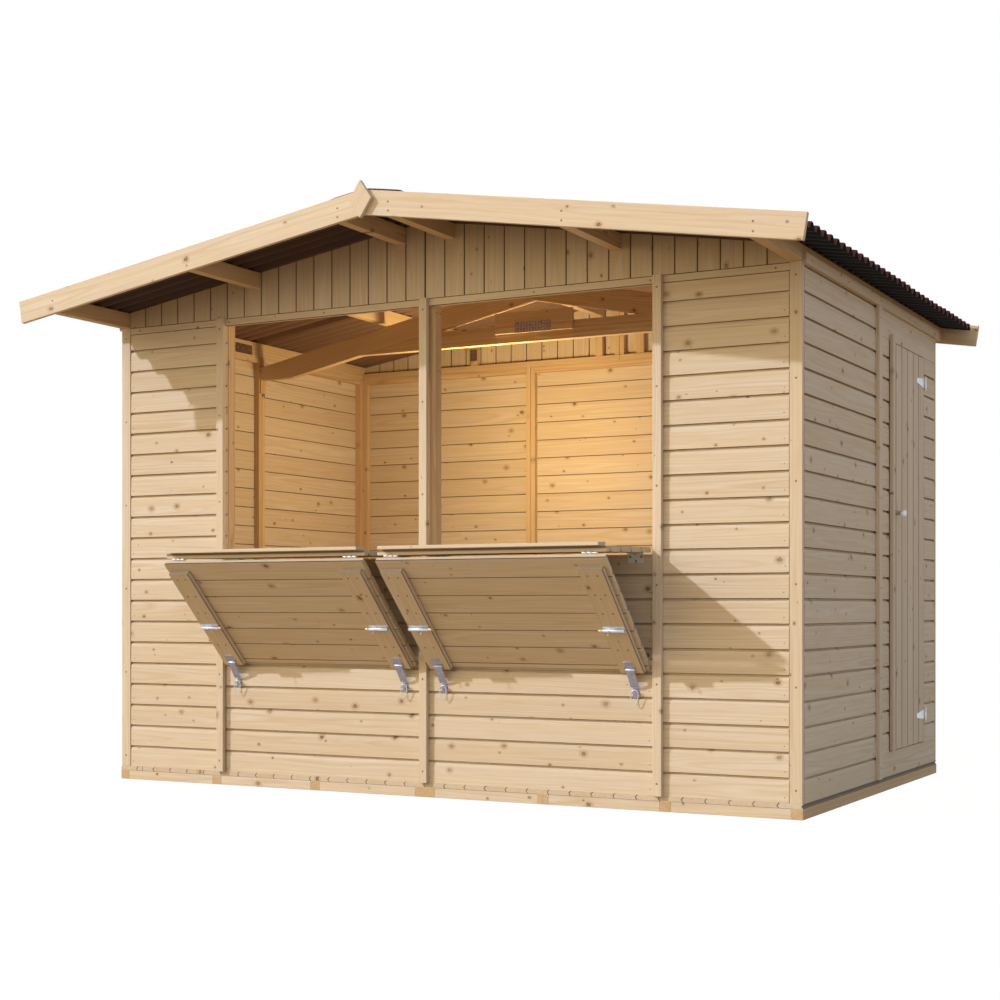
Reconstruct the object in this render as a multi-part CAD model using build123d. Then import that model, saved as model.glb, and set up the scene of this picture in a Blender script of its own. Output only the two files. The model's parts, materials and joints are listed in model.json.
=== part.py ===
from build123d import *
import math
import os

# Wooden market stall: a boarded hut with two serving openings in front, each closed by a flap in
# two hinged leaves, a boarded side door, a boarded floor and a low pitched corrugated roof.
# Millimetres. X to the right along the front, Y to the back, Z up.
# Origin: centre of the footprint, at the underside of the floor frames.

# ---- floor ----
floor_width = 3000.0
floor_depth = 1872.0
joist_height = 38.0
joist_width = 43.0
joist_count = 4
rim_thickness = 19.0
floor_board = 17.0

# ---- walls ----
wall_inset = 3.0
cladding = 19.0
wall_top = 1911.0
panel_joint = 2.0
jamb_width = 35.0
jamb_depth = 45.0
stud_width = 24.0
stud_depth = 28.0
frame_rail_height = 31.0
corner_stud_width = 36.0
head_rail_height = 31.0
cover_width = 34.0
cover_thickness = 20.0
side_cover_width = 45.0
side_cover_thickness = 15.0
corner_board = 46.0
corner_proud = 2.0
opening_centre = 967.0
back_seam = 478.0
eave_cover_height = 37.0
eave_cover_drop = 8.0

# ---- serving openings and their flaps ----
hinge_gap = 6.0
flap_side_gap = 9.0
counter_length = 380.0
brace_length = 548.0
flap_head_gap = 23.0
counter_open_angle = 91.2
prop_clearance = 5.0
strap_wall_gap = 10.0
knuckle_radius = 4.0
knuckle_play = 0.5
hinge_plate = 1.5
hinge_width = 60.0
hinge_height = 29.0
hinge_from_edge = 62.0
ledge_width = 95.0
ledge_thickness = 20.0
ledge_inset = 14.0
ledge_setback = 35.0
rebate_strip_width = 60.0
rebate_overhang = 28.0
rebate_thickness = 14.0
rebate_clearance = 2.0
rebate_inset = 20.0
bolt_from_free_edge = 225.0
bolt_length = 84.0
bolt_plate_width = 26.0
bolt_rod_radius = 5.0
bolt_tip = 15.0
barrel_wall = 1.0
hasp_width = 36.0
hasp_strap_width = 32.0
hasp_plate_length = 34.0
hasp_strap_length = 76.0
hasp_thickness = 2.0
hasp_end_distance = 62.0
staple_width = 24.0
staple_reach = 16.0
staple_wire = 5.0
staple_plate_height = 36.0
staple_drop = 22.0
hook_length = 62.0
hook_width = 22.0
hook_wire = 5.0
hook_play = 1.0

# ---- side door ----
door_from_seam = 171.0
door_from_corner = 210.0
door_gap = 5.0
door_bottom = 150.0
door_head_height = 115.0
door_proud = 2.0
door_strip_width = 33.0
door_strip_thickness = 14.0
door_strip_rise = 27.0
door_ledge_width = 95.0
door_ledge_inset = 55.0
door_hinge_from_bottom = 120.0
door_hinge_from_top = 111.0
strap_length = 130.0
strap_root = 44.0
strap_tip = 16.0
door_knuckle_radius = 5.0
door_knuckle_height = 58.0
door_plate_width = 26.0
knob_height = 1108.0
knob_setback = 88.0
knob_length = 41.0
knob_radius = 12.0
knob_shaft_radius = 8.5
knob_head_length = 20.0

# ---- roof ----
roof_slope = 0.1593
front_overhang = 422.0
back_overhang = 120.0
bargeboard_depth = 91.0
bargeboard_thickness = 18.0
bargeboard_rise = 27.0
bargeboard_side_overhang = 156.0
board_joint = 1.0
sheet_side_overhang = 120.0
sheet_thickness = 30.0
sheet_ridge_gap = 24.0
ridge_cap_half = 150.0
ridge_cap_thickness = 4.0
purlin_width = 41.0
purlin_depth = 60.0
ridge_purlin_centre = 108.0
middle_purlin_centre = 797.0
finial_half_width = 47.5
finial_half_height = 69.0
finial_below_ridge = 11.0

# ---- frames behind the gables ----
gable_rail_height = 27.0
gable_post_width = 38.0
gable_joint_post = 25.0

# ---- truss over the middle of the room ----
rafter_slope = 0.2
rafter_depth = 93.0
truss_thickness = 38.0
collar_depth = 77.0
gusset_width = 372.0
gusset_shift = 6.0
gusset_height = 90.0
gusset_above_collar = 38.0
gusset_thickness = 18.0
seat_below_wall_top = 112.0
pad_height = 62.0
pad_thickness = 8.0

# ---- places worked out from the sizes above ----
floor_top = joist_height + floor_board
half_width = floor_width / 2
front_edge = -floor_depth / 2
back_edge = floor_depth / 2
wall_x = half_width - wall_inset
wall_front = front_edge + wall_inset
wall_back = back_edge - wall_inset
head_bottom = wall_top - head_rail_height
flap_height = counter_length + brace_length + 2 * hinge_gap
sill_top = head_bottom - flap_head_gap - flap_height
frame_rail_bottom = wall_top - frame_rail_height
collar_bottom = wall_top - jamb_width
side_y0 = wall_front + cladding
side_y1 = wall_back - cladding
side_seam_y = (side_y0 + side_y1) / 2
inner_x = wall_x - cladding
panel_end = wall_x - corner_board
opening_inner = cover_width / 2
opening_outer = opening_centre - cover_width / 2
door_y0 = side_seam_y + door_from_seam
door_y1 = back_edge - door_from_corner
door_top = wall_top - door_head_height
door_hinge_heights = (door_bottom + door_hinge_from_bottom, door_top - door_hinge_from_top)
eave_purlin_centre = wall_x - purlin_width / 2
purlin_centres = (ridge_purlin_centre, middle_purlin_centre, eave_purlin_centre)
ridge_height = wall_top + purlin_depth + roof_slope * eave_purlin_centre
ridge_purlin_inner = ridge_purlin_centre - purlin_width / 2
ridge_purlin_bottom = ridge_height - roof_slope * ridge_purlin_centre - purlin_depth
rafter_apex = ridge_purlin_bottom + rafter_slope * ridge_purlin_inner - rafter_depth
sheet_half = half_width + sheet_side_overhang
bargeboard_half = half_width + bargeboard_side_overhang
barge_front = front_edge - front_overhang
barge_back = back_edge + back_overhang

os.makedirs("parts", exist_ok=True)


def write(name, solids):
    """Write one node from a list of solids that don't touch, or from one solid."""
    shapes = solids if isinstance(solids, list) else [solids]
    export_step(Compound(children=[shape for shape in shapes]), "parts/" + name + ".step")


def block(x0, x1, y0, y1, z0, z1):
    """A box between two corners."""
    size = Box(abs(x1 - x0), abs(y1 - y0), abs(z1 - z0))
    return Pos((x0 + x1) / 2, (y0 + y1) / 2, (z0 + z1) / 2) * size


def upright_xz(points, y0, y1):
    """A board cut to an outline in X and Z, from y0 to y1."""
    outline = make_face(Polyline([(x, y0, z) for x, z in points], close=True))
    return Solid.extrude(outline.face(), Vector(0, y1 - y0, 0))


def upright_yz(points, x0, x1):
    """A piece cut to an outline in Y and Z, from x0 to x1."""
    outline = make_face(Polyline([(x0, y, z) for y, z in points], close=True))
    return Solid.extrude(outline.face(), Vector(x1 - x0, 0, 0))


def rod_x(x0, x1, y, z, radius):
    """A round bar along X."""
    return Pos((x0 + x1) / 2, y, z) * Rot(0, 90, 0) * Cylinder(radius, abs(x1 - x0))


def rod_z(x, y, z0, z1, radius):
    """A round bar along Z."""
    return Pos(x, y, (z0 + z1) / 2) * Cylinder(radius, z1 - z0)


def roof_under(x):
    """Height of the underside of the roof sheets."""
    return ridge_height - roof_slope * abs(x)


# ---- floor: two frames of joists and rims, bolted together at the middle, under one layer of boards ----
joist_pitch = (half_width - joist_width) / (joist_count - 1)
joist_starts = [number * joist_pitch for number in range(joist_count)]
middle_joists = block(-joist_width, joist_width, front_edge, back_edge, 0, joist_height)

write("floor_joists", [middle_joists] + [
    block(side * x, side * (x + joist_width), front_edge, back_edge, 0, joist_height)
    for side in (-1, 1)
    for x in joist_starts[1:]
])
write("floor_rims", [
    block(side * (x + joist_width), side * (x + joist_pitch), y, y + rim_thickness, 0, joist_height)
    for side in (-1, 1)
    for x in joist_starts[:-1]
    for y in (front_edge, back_edge - rim_thickness)
])
write("floor_boards", block(-half_width, half_width, front_edge, back_edge, joist_height, floor_top))


# ---- wall cladding ----
def front_slab(x0, x1, z0, z1):
    return block(x0, x1, wall_front, wall_front + cladding, z0, z1)


def back_slab(x0, x1, z0, z1):
    return block(x0, x1, wall_back - cladding, wall_back, z0, z1)


def side_slab(side, y0, y1, z0, z1):
    return block(side * (wall_x - cladding), side * wall_x, y0, y1, z0, z1)


write("front_walls", [
    front_slab(side * opening_outer, side * panel_end, floor_top, head_bottom) for side in (-1, 1)
])
write("sill_walls", [
    front_slab(side * panel_joint / 2, side * opening_outer, floor_top, sill_top) for side in (-1, 1)
])
write("front_head_rail", front_slab(-panel_end, panel_end, head_bottom, wall_top))
write("left_wall", [
    side_slab(-1, side_y0, side_seam_y - panel_joint / 2, floor_top, wall_top),
    side_slab(-1, side_seam_y + panel_joint / 2, side_y1, floor_top, wall_top),
])
write("right_wall_front", side_slab(1, side_y0, side_seam_y - panel_joint / 2, floor_top, wall_top))
write("right_wall_beside_door", [
    side_slab(1, side_seam_y + panel_joint / 2, door_y0, door_bottom, door_top),
    side_slab(1, door_y1, side_y1, door_bottom, door_top),
])
write("right_wall_over_door", side_slab(1, side_seam_y + panel_joint / 2, side_y1, door_top, wall_top))
write("right_wall_threshold", side_slab(1, side_seam_y + panel_joint / 2, side_y1, floor_top, door_bottom))
write("back_wall", [
    back_slab(-panel_end, -back_seam - panel_joint / 2, floor_top, wall_top),
    back_slab(-back_seam + panel_joint / 2, back_seam - panel_joint / 2, floor_top, wall_top),
    back_slab(back_seam + panel_joint / 2, panel_end, floor_top, wall_top),
])


# ---- gables, notched for the purlins ----
def gable(y0):
    """Upright boards between the wall top and the roof sheets."""
    outline = [
        (-wall_x, wall_top),
        (wall_x, wall_top),
        (wall_x, roof_under(wall_x)),
        (0, ridge_height),
        (-wall_x, roof_under(wall_x)),
    ]
    board = upright_xz(outline, y0, y0 + cladding)
    for centre in purlin_centres:
        for side in (-1, 1):
            board = board - purlin(side * centre)
    return board


def purlin(centre):
    """A square roof timber from the front bargeboard to the back one."""
    x0 = centre - purlin_width / 2
    x1 = centre + purlin_width / 2
    bottom = roof_under(centre) - purlin_depth
    outline = [(x0, bottom), (x1, bottom), (x1, roof_under(x1)), (x0, roof_under(x0))]
    return upright_xz(outline, barge_front, barge_back)


write("gables", [gable(wall_front), gable(wall_back - cladding)])
write("purlins", [purlin(side * centre) for centre in purlin_centres for side in (-1, 1)])


# ---- wall frames inside the cladding ----
def jamb(x0):
    return block(x0, x0 + jamb_width, side_y0, side_y0 + jamb_depth, floor_top, wall_top)


def back_piece(x0, x1, z0, z1):
    return block(x0, x1, side_y1 - stud_depth, side_y1, z0, z1)


def side_piece(side, y0, y1, z0, z1):
    return block(side * (inner_x - stud_depth), side * inner_x, y0, y1, z0, z1)


write("front_frame", [
    jamb(x0) for x0 in (-inner_x, -opening_outer - jamb_width, inner_x - jamb_width, opening_outer)
] + [block(-jamb_width, jamb_width, side_y0, side_y0 + jamb_depth, floor_top, wall_top)]
  + [block(side * (jamb_width + board_joint), side * (opening_outer - board_joint),
           side_y0, side_y0 + jamb_depth, sill_top - jamb_width, sill_top) for side in (-1, 1)])

# Each panel has a stud at both ends and a rail between them along its top edge.
stud_joint = panel_joint / 2
back_ends = [
    (-inner_x, -inner_x + stud_depth + stud_width, -back_seam - stud_width, -back_seam - stud_joint),
    (-back_seam + stud_joint, -back_seam + stud_width, back_seam - stud_width, back_seam - stud_joint),
    (back_seam + stud_joint, back_seam + stud_width, inner_x - stud_depth - stud_width, inner_x),
]
back_studs = []
back_rails = []
for left_start, left_end, right_start, right_end in back_ends:
    back_studs.append(back_piece(left_start, left_end, floor_top, wall_top))
    back_studs.append(back_piece(right_start, right_end, floor_top, wall_top))
    back_rails.append(back_piece(left_end + board_joint, right_start - board_joint,
                                 frame_rail_bottom, wall_top))
write("back_frame", back_studs + back_rails)

corner_y0 = side_y0 + jamb_depth
corner_y1 = side_y1 - stud_depth - board_joint
side_ends = [
    (corner_y0, corner_y0 + stud_width, side_seam_y - stud_width, side_seam_y - stud_joint),
    (side_seam_y + stud_joint, side_seam_y + stud_width, corner_y1 - corner_stud_width, corner_y1),
]
side_studs = []
side_rails = []
for side in (-1, 1):
    for near_start, near_end, far_start, far_end in side_ends:
        side_studs.append(side_piece(side, near_start, near_end, floor_top, wall_top))
        side_studs.append(side_piece(side, far_start, far_end, floor_top, wall_top))
        side_rails.append(side_piece(side, near_end + board_joint, far_start - board_joint,
                                     frame_rail_bottom, wall_top))
door_studs = [
    side_piece(1, y0, y0 + stud_width, floor_top, frame_rail_bottom - board_joint)
    for y0 in (door_y0 - stud_width, door_y1)
]
write("side_frames", side_studs + side_rails + door_studs)


# Each gable has two rails in line, a post under every purlin and two posts at the joint of the rails.
def gable_frame(y0):
    pieces = []
    joint = board_joint / 2
    rail_top = wall_top + gable_rail_height
    post_bottom = rail_top + board_joint
    purlin_inner = eave_purlin_centre - purlin_width / 2
    for side in (-1, 1):
        pieces.append(block(side * joint, side * purlin_inner, y0, y0 + stud_depth, wall_top, rail_top))
        pieces.append(block(side * joint, side * gable_joint_post, y0, y0 + stud_depth,
                            post_bottom, roof_under(gable_joint_post)))
        for centre in (ridge_purlin_centre, middle_purlin_centre):
            pieces.append(block(side * (centre - gable_post_width / 2), side * (centre + gable_post_width / 2),
                                y0, y0 + stud_depth, post_bottom, roof_under(centre) - purlin_depth))
    return pieces


write("gable_frames", gable_frame(side_y0) + gable_frame(side_y1 - stud_depth))

# ---- cover battens and corner boards on the outside ----
front_covers = [
    block(centre - cover_width / 2, centre + cover_width / 2, wall_front - cover_thickness, wall_front,
          floor_top, wall_top)
    for centre in (-opening_centre, 0, opening_centre)
]
back_covers = [
    block(centre - cover_width / 2, centre + cover_width / 2, wall_back, wall_back + cover_thickness,
          floor_top, wall_top)
    for centre in (-back_seam, back_seam)
]
side_covers = [
    block(side * wall_x, side * (wall_x + side_cover_thickness),
          side_seam_y - side_cover_width / 2, side_seam_y + side_cover_width / 2,
          floor_top, wall_top - eave_cover_drop)
    for side in (-1, 1)
]
corner_boards = [
    block(side * panel_end, side * wall_x, y0, y0 + cladding + corner_proud, floor_top, wall_top)
    for side in (-1, 1)
    for y0 in (wall_front - corner_proud, wall_back - cladding)
]
write("cover_battens", front_covers + back_covers + side_covers + corner_boards)
write("eave_covers", [
    block(side * wall_x, side * (wall_x + side_cover_thickness), wall_front, wall_back,
          wall_top - eave_cover_drop, wall_top - eave_cover_drop + eave_cover_height)
    for side in (-1, 1)
])

# ---- truss ----
rafter_end = inner_x - stud_depth
seat_height = wall_top - seat_below_wall_top
seat_reach = (rafter_apex - seat_height) / rafter_slope
collar_top = collar_bottom + collar_depth


def rafter_under(x):
    """Height of the underside of the truss rafters."""
    return rafter_apex - rafter_slope * abs(x)


def rafter(side):
    """A timber of the truss on one slope, its lower end cut level to sit on a pad."""
    joint = board_joint / 2
    outline = [
        (side * joint, rafter_under(joint)),
        (side * seat_reach, seat_height),
        (side * rafter_end, seat_height),
        (side * rafter_end, rafter_under(rafter_end) + rafter_depth),
        (side * joint, rafter_under(joint) + rafter_depth),
    ]
    return upright_xz(outline, -truss_thickness / 2, truss_thickness / 2)


def collar(side):
    """Half of the tie across the truss, cut to the underside of the rafter."""
    joint = board_joint / 2
    reach_low = (rafter_apex - collar_bottom) / rafter_slope
    reach_high = (rafter_apex - collar_top) / rafter_slope
    outline = [
        (side * joint, collar_bottom),
        (side * reach_low, collar_bottom),
        (side * reach_high, collar_top),
        (side * joint, collar_top),
    ]
    return upright_xz(outline, -truss_thickness / 2, truss_thickness / 2)


write("truss_rafters", [rafter(-1), rafter(1)])
write("truss_collar", [collar(-1), collar(1)])
gusset_y = -truss_thickness / 2
gusset_bottom = collar_bottom + gusset_above_collar
write("truss_gusset", block(gusset_shift - gusset_width / 2, gusset_shift + gusset_width / 2,
                            gusset_y - gusset_thickness, gusset_y,
                            gusset_bottom, gusset_bottom + gusset_height))
write("truss_pads", [
    block(side * (rafter_end - pad_thickness), side * rafter_end, -truss_thickness / 2, truss_thickness / 2,
          seat_height - pad_height, seat_height)
    for side in (-1, 1)
])


# ---- roof ----
def roof_sheet(side):
    """The plain envelope of the corrugated sheets on one slope."""
    outline = [
        (side * sheet_ridge_gap / 2, roof_under(sheet_ridge_gap / 2)),
        (side * sheet_half, roof_under(sheet_half)),
        (side * sheet_half, roof_under(sheet_half) + sheet_thickness),
        (side * sheet_ridge_gap / 2, roof_under(sheet_ridge_gap / 2) + sheet_thickness),
    ]
    return upright_xz(outline, barge_front, barge_back)


def bargeboard(side, y0):
    """A board along the gable end, its ends cut square to the slope."""
    joint = board_joint / 2
    lean = bargeboard_depth * roof_slope / (1 + roof_slope ** 2)
    top = roof_under(0) + bargeboard_rise
    outline = [
        (side * joint, top - roof_slope * joint),
        (side * bargeboard_half, top - roof_slope * bargeboard_half),
        (side * (bargeboard_half - lean),
         top - roof_slope * (bargeboard_half - lean) - bargeboard_depth),
        (side * joint, top - roof_slope * joint - bargeboard_depth),
    ]
    return upright_xz(outline, y0, y0 + bargeboard_thickness)


def finial(y0):
    """A diamond board over the joint of two bargeboards."""
    centre = ridge_height - finial_below_ridge
    outline = [
        (0, centre - finial_half_height),
        (finial_half_width, centre),
        (0, centre + finial_half_height),
        (-finial_half_width, centre),
    ]
    return upright_xz(outline, y0, y0 + bargeboard_thickness)


def ridge_cap():
    """A folded strip over the gap between the two slopes."""
    under = [(x, roof_under(x) + sheet_thickness) for x in (-ridge_cap_half, 0, ridge_cap_half)]
    over = [(x, z + ridge_cap_thickness) for x, z in reversed(under)]
    return upright_xz(under + over, barge_front, barge_back)


write("roof_sheets", [roof_sheet(side) for side in (-1, 1)])
write("ridge_cap", ridge_cap())
write("bargeboards", [
    bargeboard(side, y0) for y0 in (barge_front - bargeboard_thickness, barge_back) for side in (-1, 1)
])
write("finials", [finial(barge_front - 2 * bargeboard_thickness), finial(barge_back + bargeboard_thickness)])

# ---- flaps of the serving openings, drawn closed and then turned to their open rest ----
counter_bottom = sill_top + hinge_gap
counter_top = counter_bottom + counter_length
brace_bottom = counter_top + hinge_gap
brace_top = brace_bottom + brace_length
hinge_y = wall_front - knuckle_radius
sill_axis_z = sill_top + hinge_gap / 2
middle_axis_z = counter_top + hinge_gap / 2
flap_back = wall_front + cladding
flap_inner = opening_inner + flap_side_gap
flap_outer = opening_outer - flap_side_gap

# The brace turns on the counter until the far edge of its outer face meets the wall.
counter_reach = middle_axis_z - sill_axis_z
open_radians = math.radians(counter_open_angle)
middle_axis_open_y = hinge_y - counter_reach * math.sin(open_radians)
middle_axis_open_z = sill_axis_z + counter_reach * math.cos(open_radians)
brace_reach = brace_top - middle_axis_z
corner_radius = math.hypot(brace_reach, knuckle_radius)
corner_lead = math.atan2(knuckle_radius, brace_reach)
prop_reach = wall_front - prop_clearance - middle_axis_open_y
prop_angle = 180.0 + math.degrees(math.asin(prop_reach / corner_radius) + corner_lead)
brace_fold_angle = prop_angle - counter_open_angle


def open_place(y, z):
    """Where a point of the closed brace stands when the brace is propped."""
    turn = math.radians(prop_angle)
    out = y - hinge_y
    up = z - middle_axis_z
    open_y = middle_axis_open_y + out * math.cos(turn) - up * math.sin(turn)
    open_z = middle_axis_open_z + out * math.sin(turn) + up * math.cos(turn)
    return open_y, open_z


# Each hasp's strap leans towards the wall until only its named gap is left.
hasp_plate_z = brace_top - hasp_end_distance
hasp_knuckle_z = hasp_plate_z + hasp_plate_length + knuckle_radius
hasp_knuckle_y = flap_back + ledge_thickness + knuckle_radius
hasp_open_y, hasp_open_z = open_place(hasp_knuckle_y, hasp_knuckle_z)
strap_reach = wall_front - strap_wall_gap - hasp_open_y
strap_offset = knuckle_radius - hasp_thickness
strap_radius = math.hypot(hasp_strap_length, strap_offset)
strap_lean = math.asin(strap_reach / strap_radius) + math.atan2(strap_offset, hasp_strap_length)
hasp_tilt = prop_angle - 180.0 - math.degrees(strap_lean)
strap_end_z = hasp_open_z - hasp_strap_length * math.cos(strap_lean)


def turned(shape, angle, y, z):
    """The shape turned outwards about a line along X."""
    return shape.rotate(Axis((0, y, z), (1, 0, 0)), angle)


def on_counter(shape):
    return turned(shape, counter_open_angle, hinge_y, sill_axis_z)


def on_brace(shape):
    return on_counter(turned(shape, brace_fold_angle, hinge_y, middle_axis_z))


def hinge_leaf(centre_x, axis_z, up, middle):
    """One leaf of a butt hinge on the outer face, with one middle or two end knuckles."""
    start = knuckle_radius + knuckle_play
    direction = 1 if up else -1
    x0 = centre_x - hinge_width / 2
    third = hinge_width / 3
    plate = block(x0, x0 + hinge_width, wall_front - hinge_plate, wall_front,
                  axis_z + direction * start, axis_z + direction * (start + hinge_height))
    spans = [(x0 + third + knuckle_play, x0 + 2 * third - knuckle_play)] if middle else [
        (x0, x0 + third - knuckle_play), (x0 + 2 * third + knuckle_play, x0 + hinge_width)]
    for left, right in spans:
        plate = plate + rod_x(left, right, hinge_y, axis_z, knuckle_radius)
        plate = plate + block(left, right, wall_front - hinge_plate, wall_front,
                              axis_z, axis_z + direction * start)
    return plate


def flap_hinge_centres(side):
    return (side * (flap_inner + hinge_from_edge), side * (flap_outer - hinge_from_edge))


def rebate_strip(side):
    """A strip on the counter that closes the joint with the brace from inside."""
    outline = [
        (flap_back, counter_top - rebate_strip_width + rebate_overhang),
        (flap_back, counter_top),
        (flap_back + rebate_clearance, counter_top),
        (flap_back + rebate_clearance, counter_top + rebate_overhang),
        (flap_back + rebate_thickness, counter_top + rebate_overhang),
        (flap_back + rebate_thickness, counter_top - rebate_strip_width + rebate_overhang),
    ]
    return upright_yz(outline, side * (flap_inner + rebate_inset), side * (flap_outer - rebate_inset))


def ledge_starts(side):
    """The near edges, along X, of a brace's two upright ledges."""
    near = flap_inner + ledge_inset
    far = flap_outer - ledge_inset - ledge_width
    return [(side * near, side * (near + ledge_width)), (side * far, side * (far + ledge_width))]


def barrel_bolt(x0, x1, inwards):
    """A sliding bolt across a ledge, drawn back, with its knob hanging."""
    face = flap_back + ledge_thickness
    z = brace_top - bolt_from_free_edge
    middle = (x0 + x1) / 2
    left = middle - bolt_length / 2
    right = middle + bolt_length / 2
    plate = block(left, right, face, face + hasp_thickness,
                  z - bolt_plate_width / 2, z + bolt_plate_width / 2)
    barrel_y = face + hasp_thickness + bolt_rod_radius
    barrel = rod_x(left, right, barrel_y, z, bolt_rod_radius + barrel_wall)
    rod_end = right + bolt_tip if inwards > 0 else left - bolt_tip
    return plate + barrel + rod_x(middle, rod_end, barrel_y, z, bolt_rod_radius)


def hasp(x0, x1):
    """A hasp on a ledge with its strap past the brace's free edge."""
    face = flap_back + ledge_thickness
    middle = (x0 + x1) / 2
    left = middle - hasp_width / 2
    right = middle + hasp_width / 2
    plate = block(left, right, face, face + hasp_thickness, hasp_plate_z, hasp_knuckle_z)
    knuckle = rod_x(left, right, hasp_knuckle_y, hasp_knuckle_z, knuckle_radius)
    strap = block(middle - hasp_strap_width / 2, middle + hasp_strap_width / 2,
                  hasp_knuckle_y + strap_offset, hasp_knuckle_y + knuckle_radius,
                  hasp_knuckle_z, hasp_knuckle_z + hasp_strap_length)
    return plate + knuckle + turned(strap, -hasp_tilt, hasp_knuckle_y, hasp_knuckle_z)


def flap(side, name):
    """All pieces of one flap: the counter leaf, and the brace leaf hung from its edge."""
    x0 = side * flap_inner
    x1 = side * flap_outer
    hinge_xs = flap_hinge_centres(side)
    counter_board = block(x0, x1, wall_front, flap_back, counter_bottom, counter_top)
    write("counter_board_" + name, on_counter(counter_board))
    write("counter_strip_" + name, on_counter(rebate_strip(side)))
    write("counter_hinges_" + name, [
        on_counter(hinge_leaf(x, axis_z, up, middle))
        for x in hinge_xs
        for axis_z, up, middle in ((sill_axis_z, True, True), (middle_axis_z, False, False))
    ])
    write("brace_board_" + name, on_brace(block(x0, x1, wall_front, flap_back, brace_bottom, brace_top)))
    write("brace_ledges_" + name, [
        on_brace(block(a, b, flap_back, flap_back + ledge_thickness, brace_bottom + ledge_setback, brace_top))
        for a, b in ledge_starts(side)
    ])
    spans = [tuple(sorted(span)) for span in ledge_starts(side)]
    middle_x = (x0 + x1) / 2
    write("brace_hardware_" + name, [
        on_brace(barrel_bolt(a, b, 1 if (a + b) / 2 < middle_x else -1)) for a, b in spans
    ] + [on_brace(hasp(a, b)) for a, b in spans]
      + [on_brace(hinge_leaf(x, middle_axis_z, True, True)) for x in hinge_xs])


flap(-1, "left")
flap(1, "right")

# ---- side door ----
leaf_y0 = door_y0 + door_gap
leaf_y1 = door_y1 - door_gap
leaf_z0 = door_bottom + door_gap
leaf_z1 = door_top - door_gap
leaf_outer = wall_x + door_proud
leaf_inner = leaf_outer - cladding
door_axis_x = leaf_outer + door_knuckle_radius
door_axis_y = door_y1 - door_gap / 2
door_plate_y = door_axis_y + door_knuckle_radius + 2 * knuckle_play


def door_strap(z):
    """The long tapered leaf of a door hinge, with its middle knuckle."""
    root = door_axis_y - door_knuckle_radius - 2 * knuckle_play
    tip = door_axis_y - strap_length
    outline = [
        (root, z - strap_root / 2),
        (root, z + strap_root / 2),
        (tip, z + strap_tip / 2),
        (tip, z - strap_tip / 2),
    ]
    half_third = door_knuckle_height / 6 - knuckle_play
    strap = upright_yz(outline, leaf_outer, leaf_outer + hasp_thickness)
    strap = strap + block(leaf_outer, leaf_outer + hasp_thickness, root, door_axis_y,
                          z - half_third, z + half_third)
    return strap + rod_z(door_axis_x, door_axis_y, z - half_third, z + half_third, door_knuckle_radius)


def door_wall_leaf(z):
    """The upright leaf of a door hinge on the wall, with its two end knuckles."""
    half = door_knuckle_height / 2
    plate = block(wall_x, wall_x + hasp_thickness, door_plate_y, door_plate_y + door_plate_width,
                  z - half, z + half)
    for z0, z1 in ((z - half, z - half / 3), (z + half / 3, z + half)):
        plate = plate + rod_z(door_axis_x, door_axis_y, z0, z1, door_knuckle_radius)
        plate = plate + block(wall_x, wall_x + door_proud + hasp_thickness, door_axis_y + hasp_thickness,
                              door_plate_y + hasp_thickness, z0, z1)
    return plate


write("door_leaf", block(leaf_inner, leaf_outer, leaf_y0, leaf_y1, leaf_z0, leaf_z1))
write("door_ledges", [
    block(leaf_inner - ledge_thickness, leaf_inner, leaf_y0 + door_ledge_inset, leaf_y1 - door_ledge_inset,
          z - door_ledge_width / 2, z + door_ledge_width / 2)
    for z in (door_hinge_heights[0], (leaf_z0 + leaf_z1) / 2, door_hinge_heights[1])
])
write("door_strip", block(leaf_outer, leaf_outer + door_strip_thickness, leaf_y0, leaf_y0 + door_strip_width,
                          leaf_z0, leaf_z1 + door_strip_rise))
write("door_straps", [door_strap(z) for z in door_hinge_heights])
knob_y = leaf_y0 + knob_setback
knob_end = leaf_outer + knob_length
write("door_knob", rod_x(leaf_outer, knob_end, knob_y, knob_height, knob_shaft_radius)
      + rod_x(knob_end - knob_head_length, knob_end, knob_y, knob_height, knob_radius))

# ---- hinge leaves on the walls, and the hooks that hold the braces ----
write("wall_hinges", [
    hinge_leaf(x, sill_axis_z, False, False) for side in (-1, 1) for x in flap_hinge_centres(side)
] + [door_wall_leaf(z) for z in door_hinge_heights])


def hasp_centres(side):
    return [side * (abs(a) + abs(b)) / 2 for a, b in ledge_starts(side)]


staple_z = strap_end_z - staple_drop


def staple(x):
    """A plate on the wall with a square loop, below the end of a hasp's strap."""
    plate = block(x - staple_width / 2, x + staple_width / 2, wall_front - hasp_thickness, wall_front,
                  staple_z - staple_plate_height / 2, staple_z + staple_plate_height / 2)
    loop_y = wall_front - staple_reach
    for side in (-1, 1):
        leg = x + side * (staple_width - staple_wire) / 2
        plate = plate + block(leg - staple_wire / 2, leg + staple_wire / 2, loop_y, wall_front,
                              staple_z - staple_wire / 2, staple_z + staple_wire / 2)
    return plate + block(x - staple_width / 2, x + staple_width / 2, loop_y, loop_y + staple_wire,
                         staple_z - staple_wire / 2, staple_z + staple_wire / 2)


def slot_plate(length, width, thickness):
    """A plate with round ends, its length along Z and its thickness along X."""
    profile = Plane.YZ * Rot(0, 0, 90) * SlotOverall(length, width)
    return extrude(profile, thickness / 2, both=True)


def spring_hook(x):
    """A long closed ring hanging on the outer bar of a staple."""
    bar_y = wall_front - staple_reach + staple_wire / 2
    ring_top = staple_z + staple_wire / 2 + hook_play + hook_wire
    inner = slot_plate(hook_length - 2 * hook_wire, hook_width - 2 * hook_wire, 2 * hook_wire)
    ring = slot_plate(hook_length, hook_width, hook_wire) - inner
    return Pos(x, bar_y, ring_top - hook_length / 2) * ring


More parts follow.
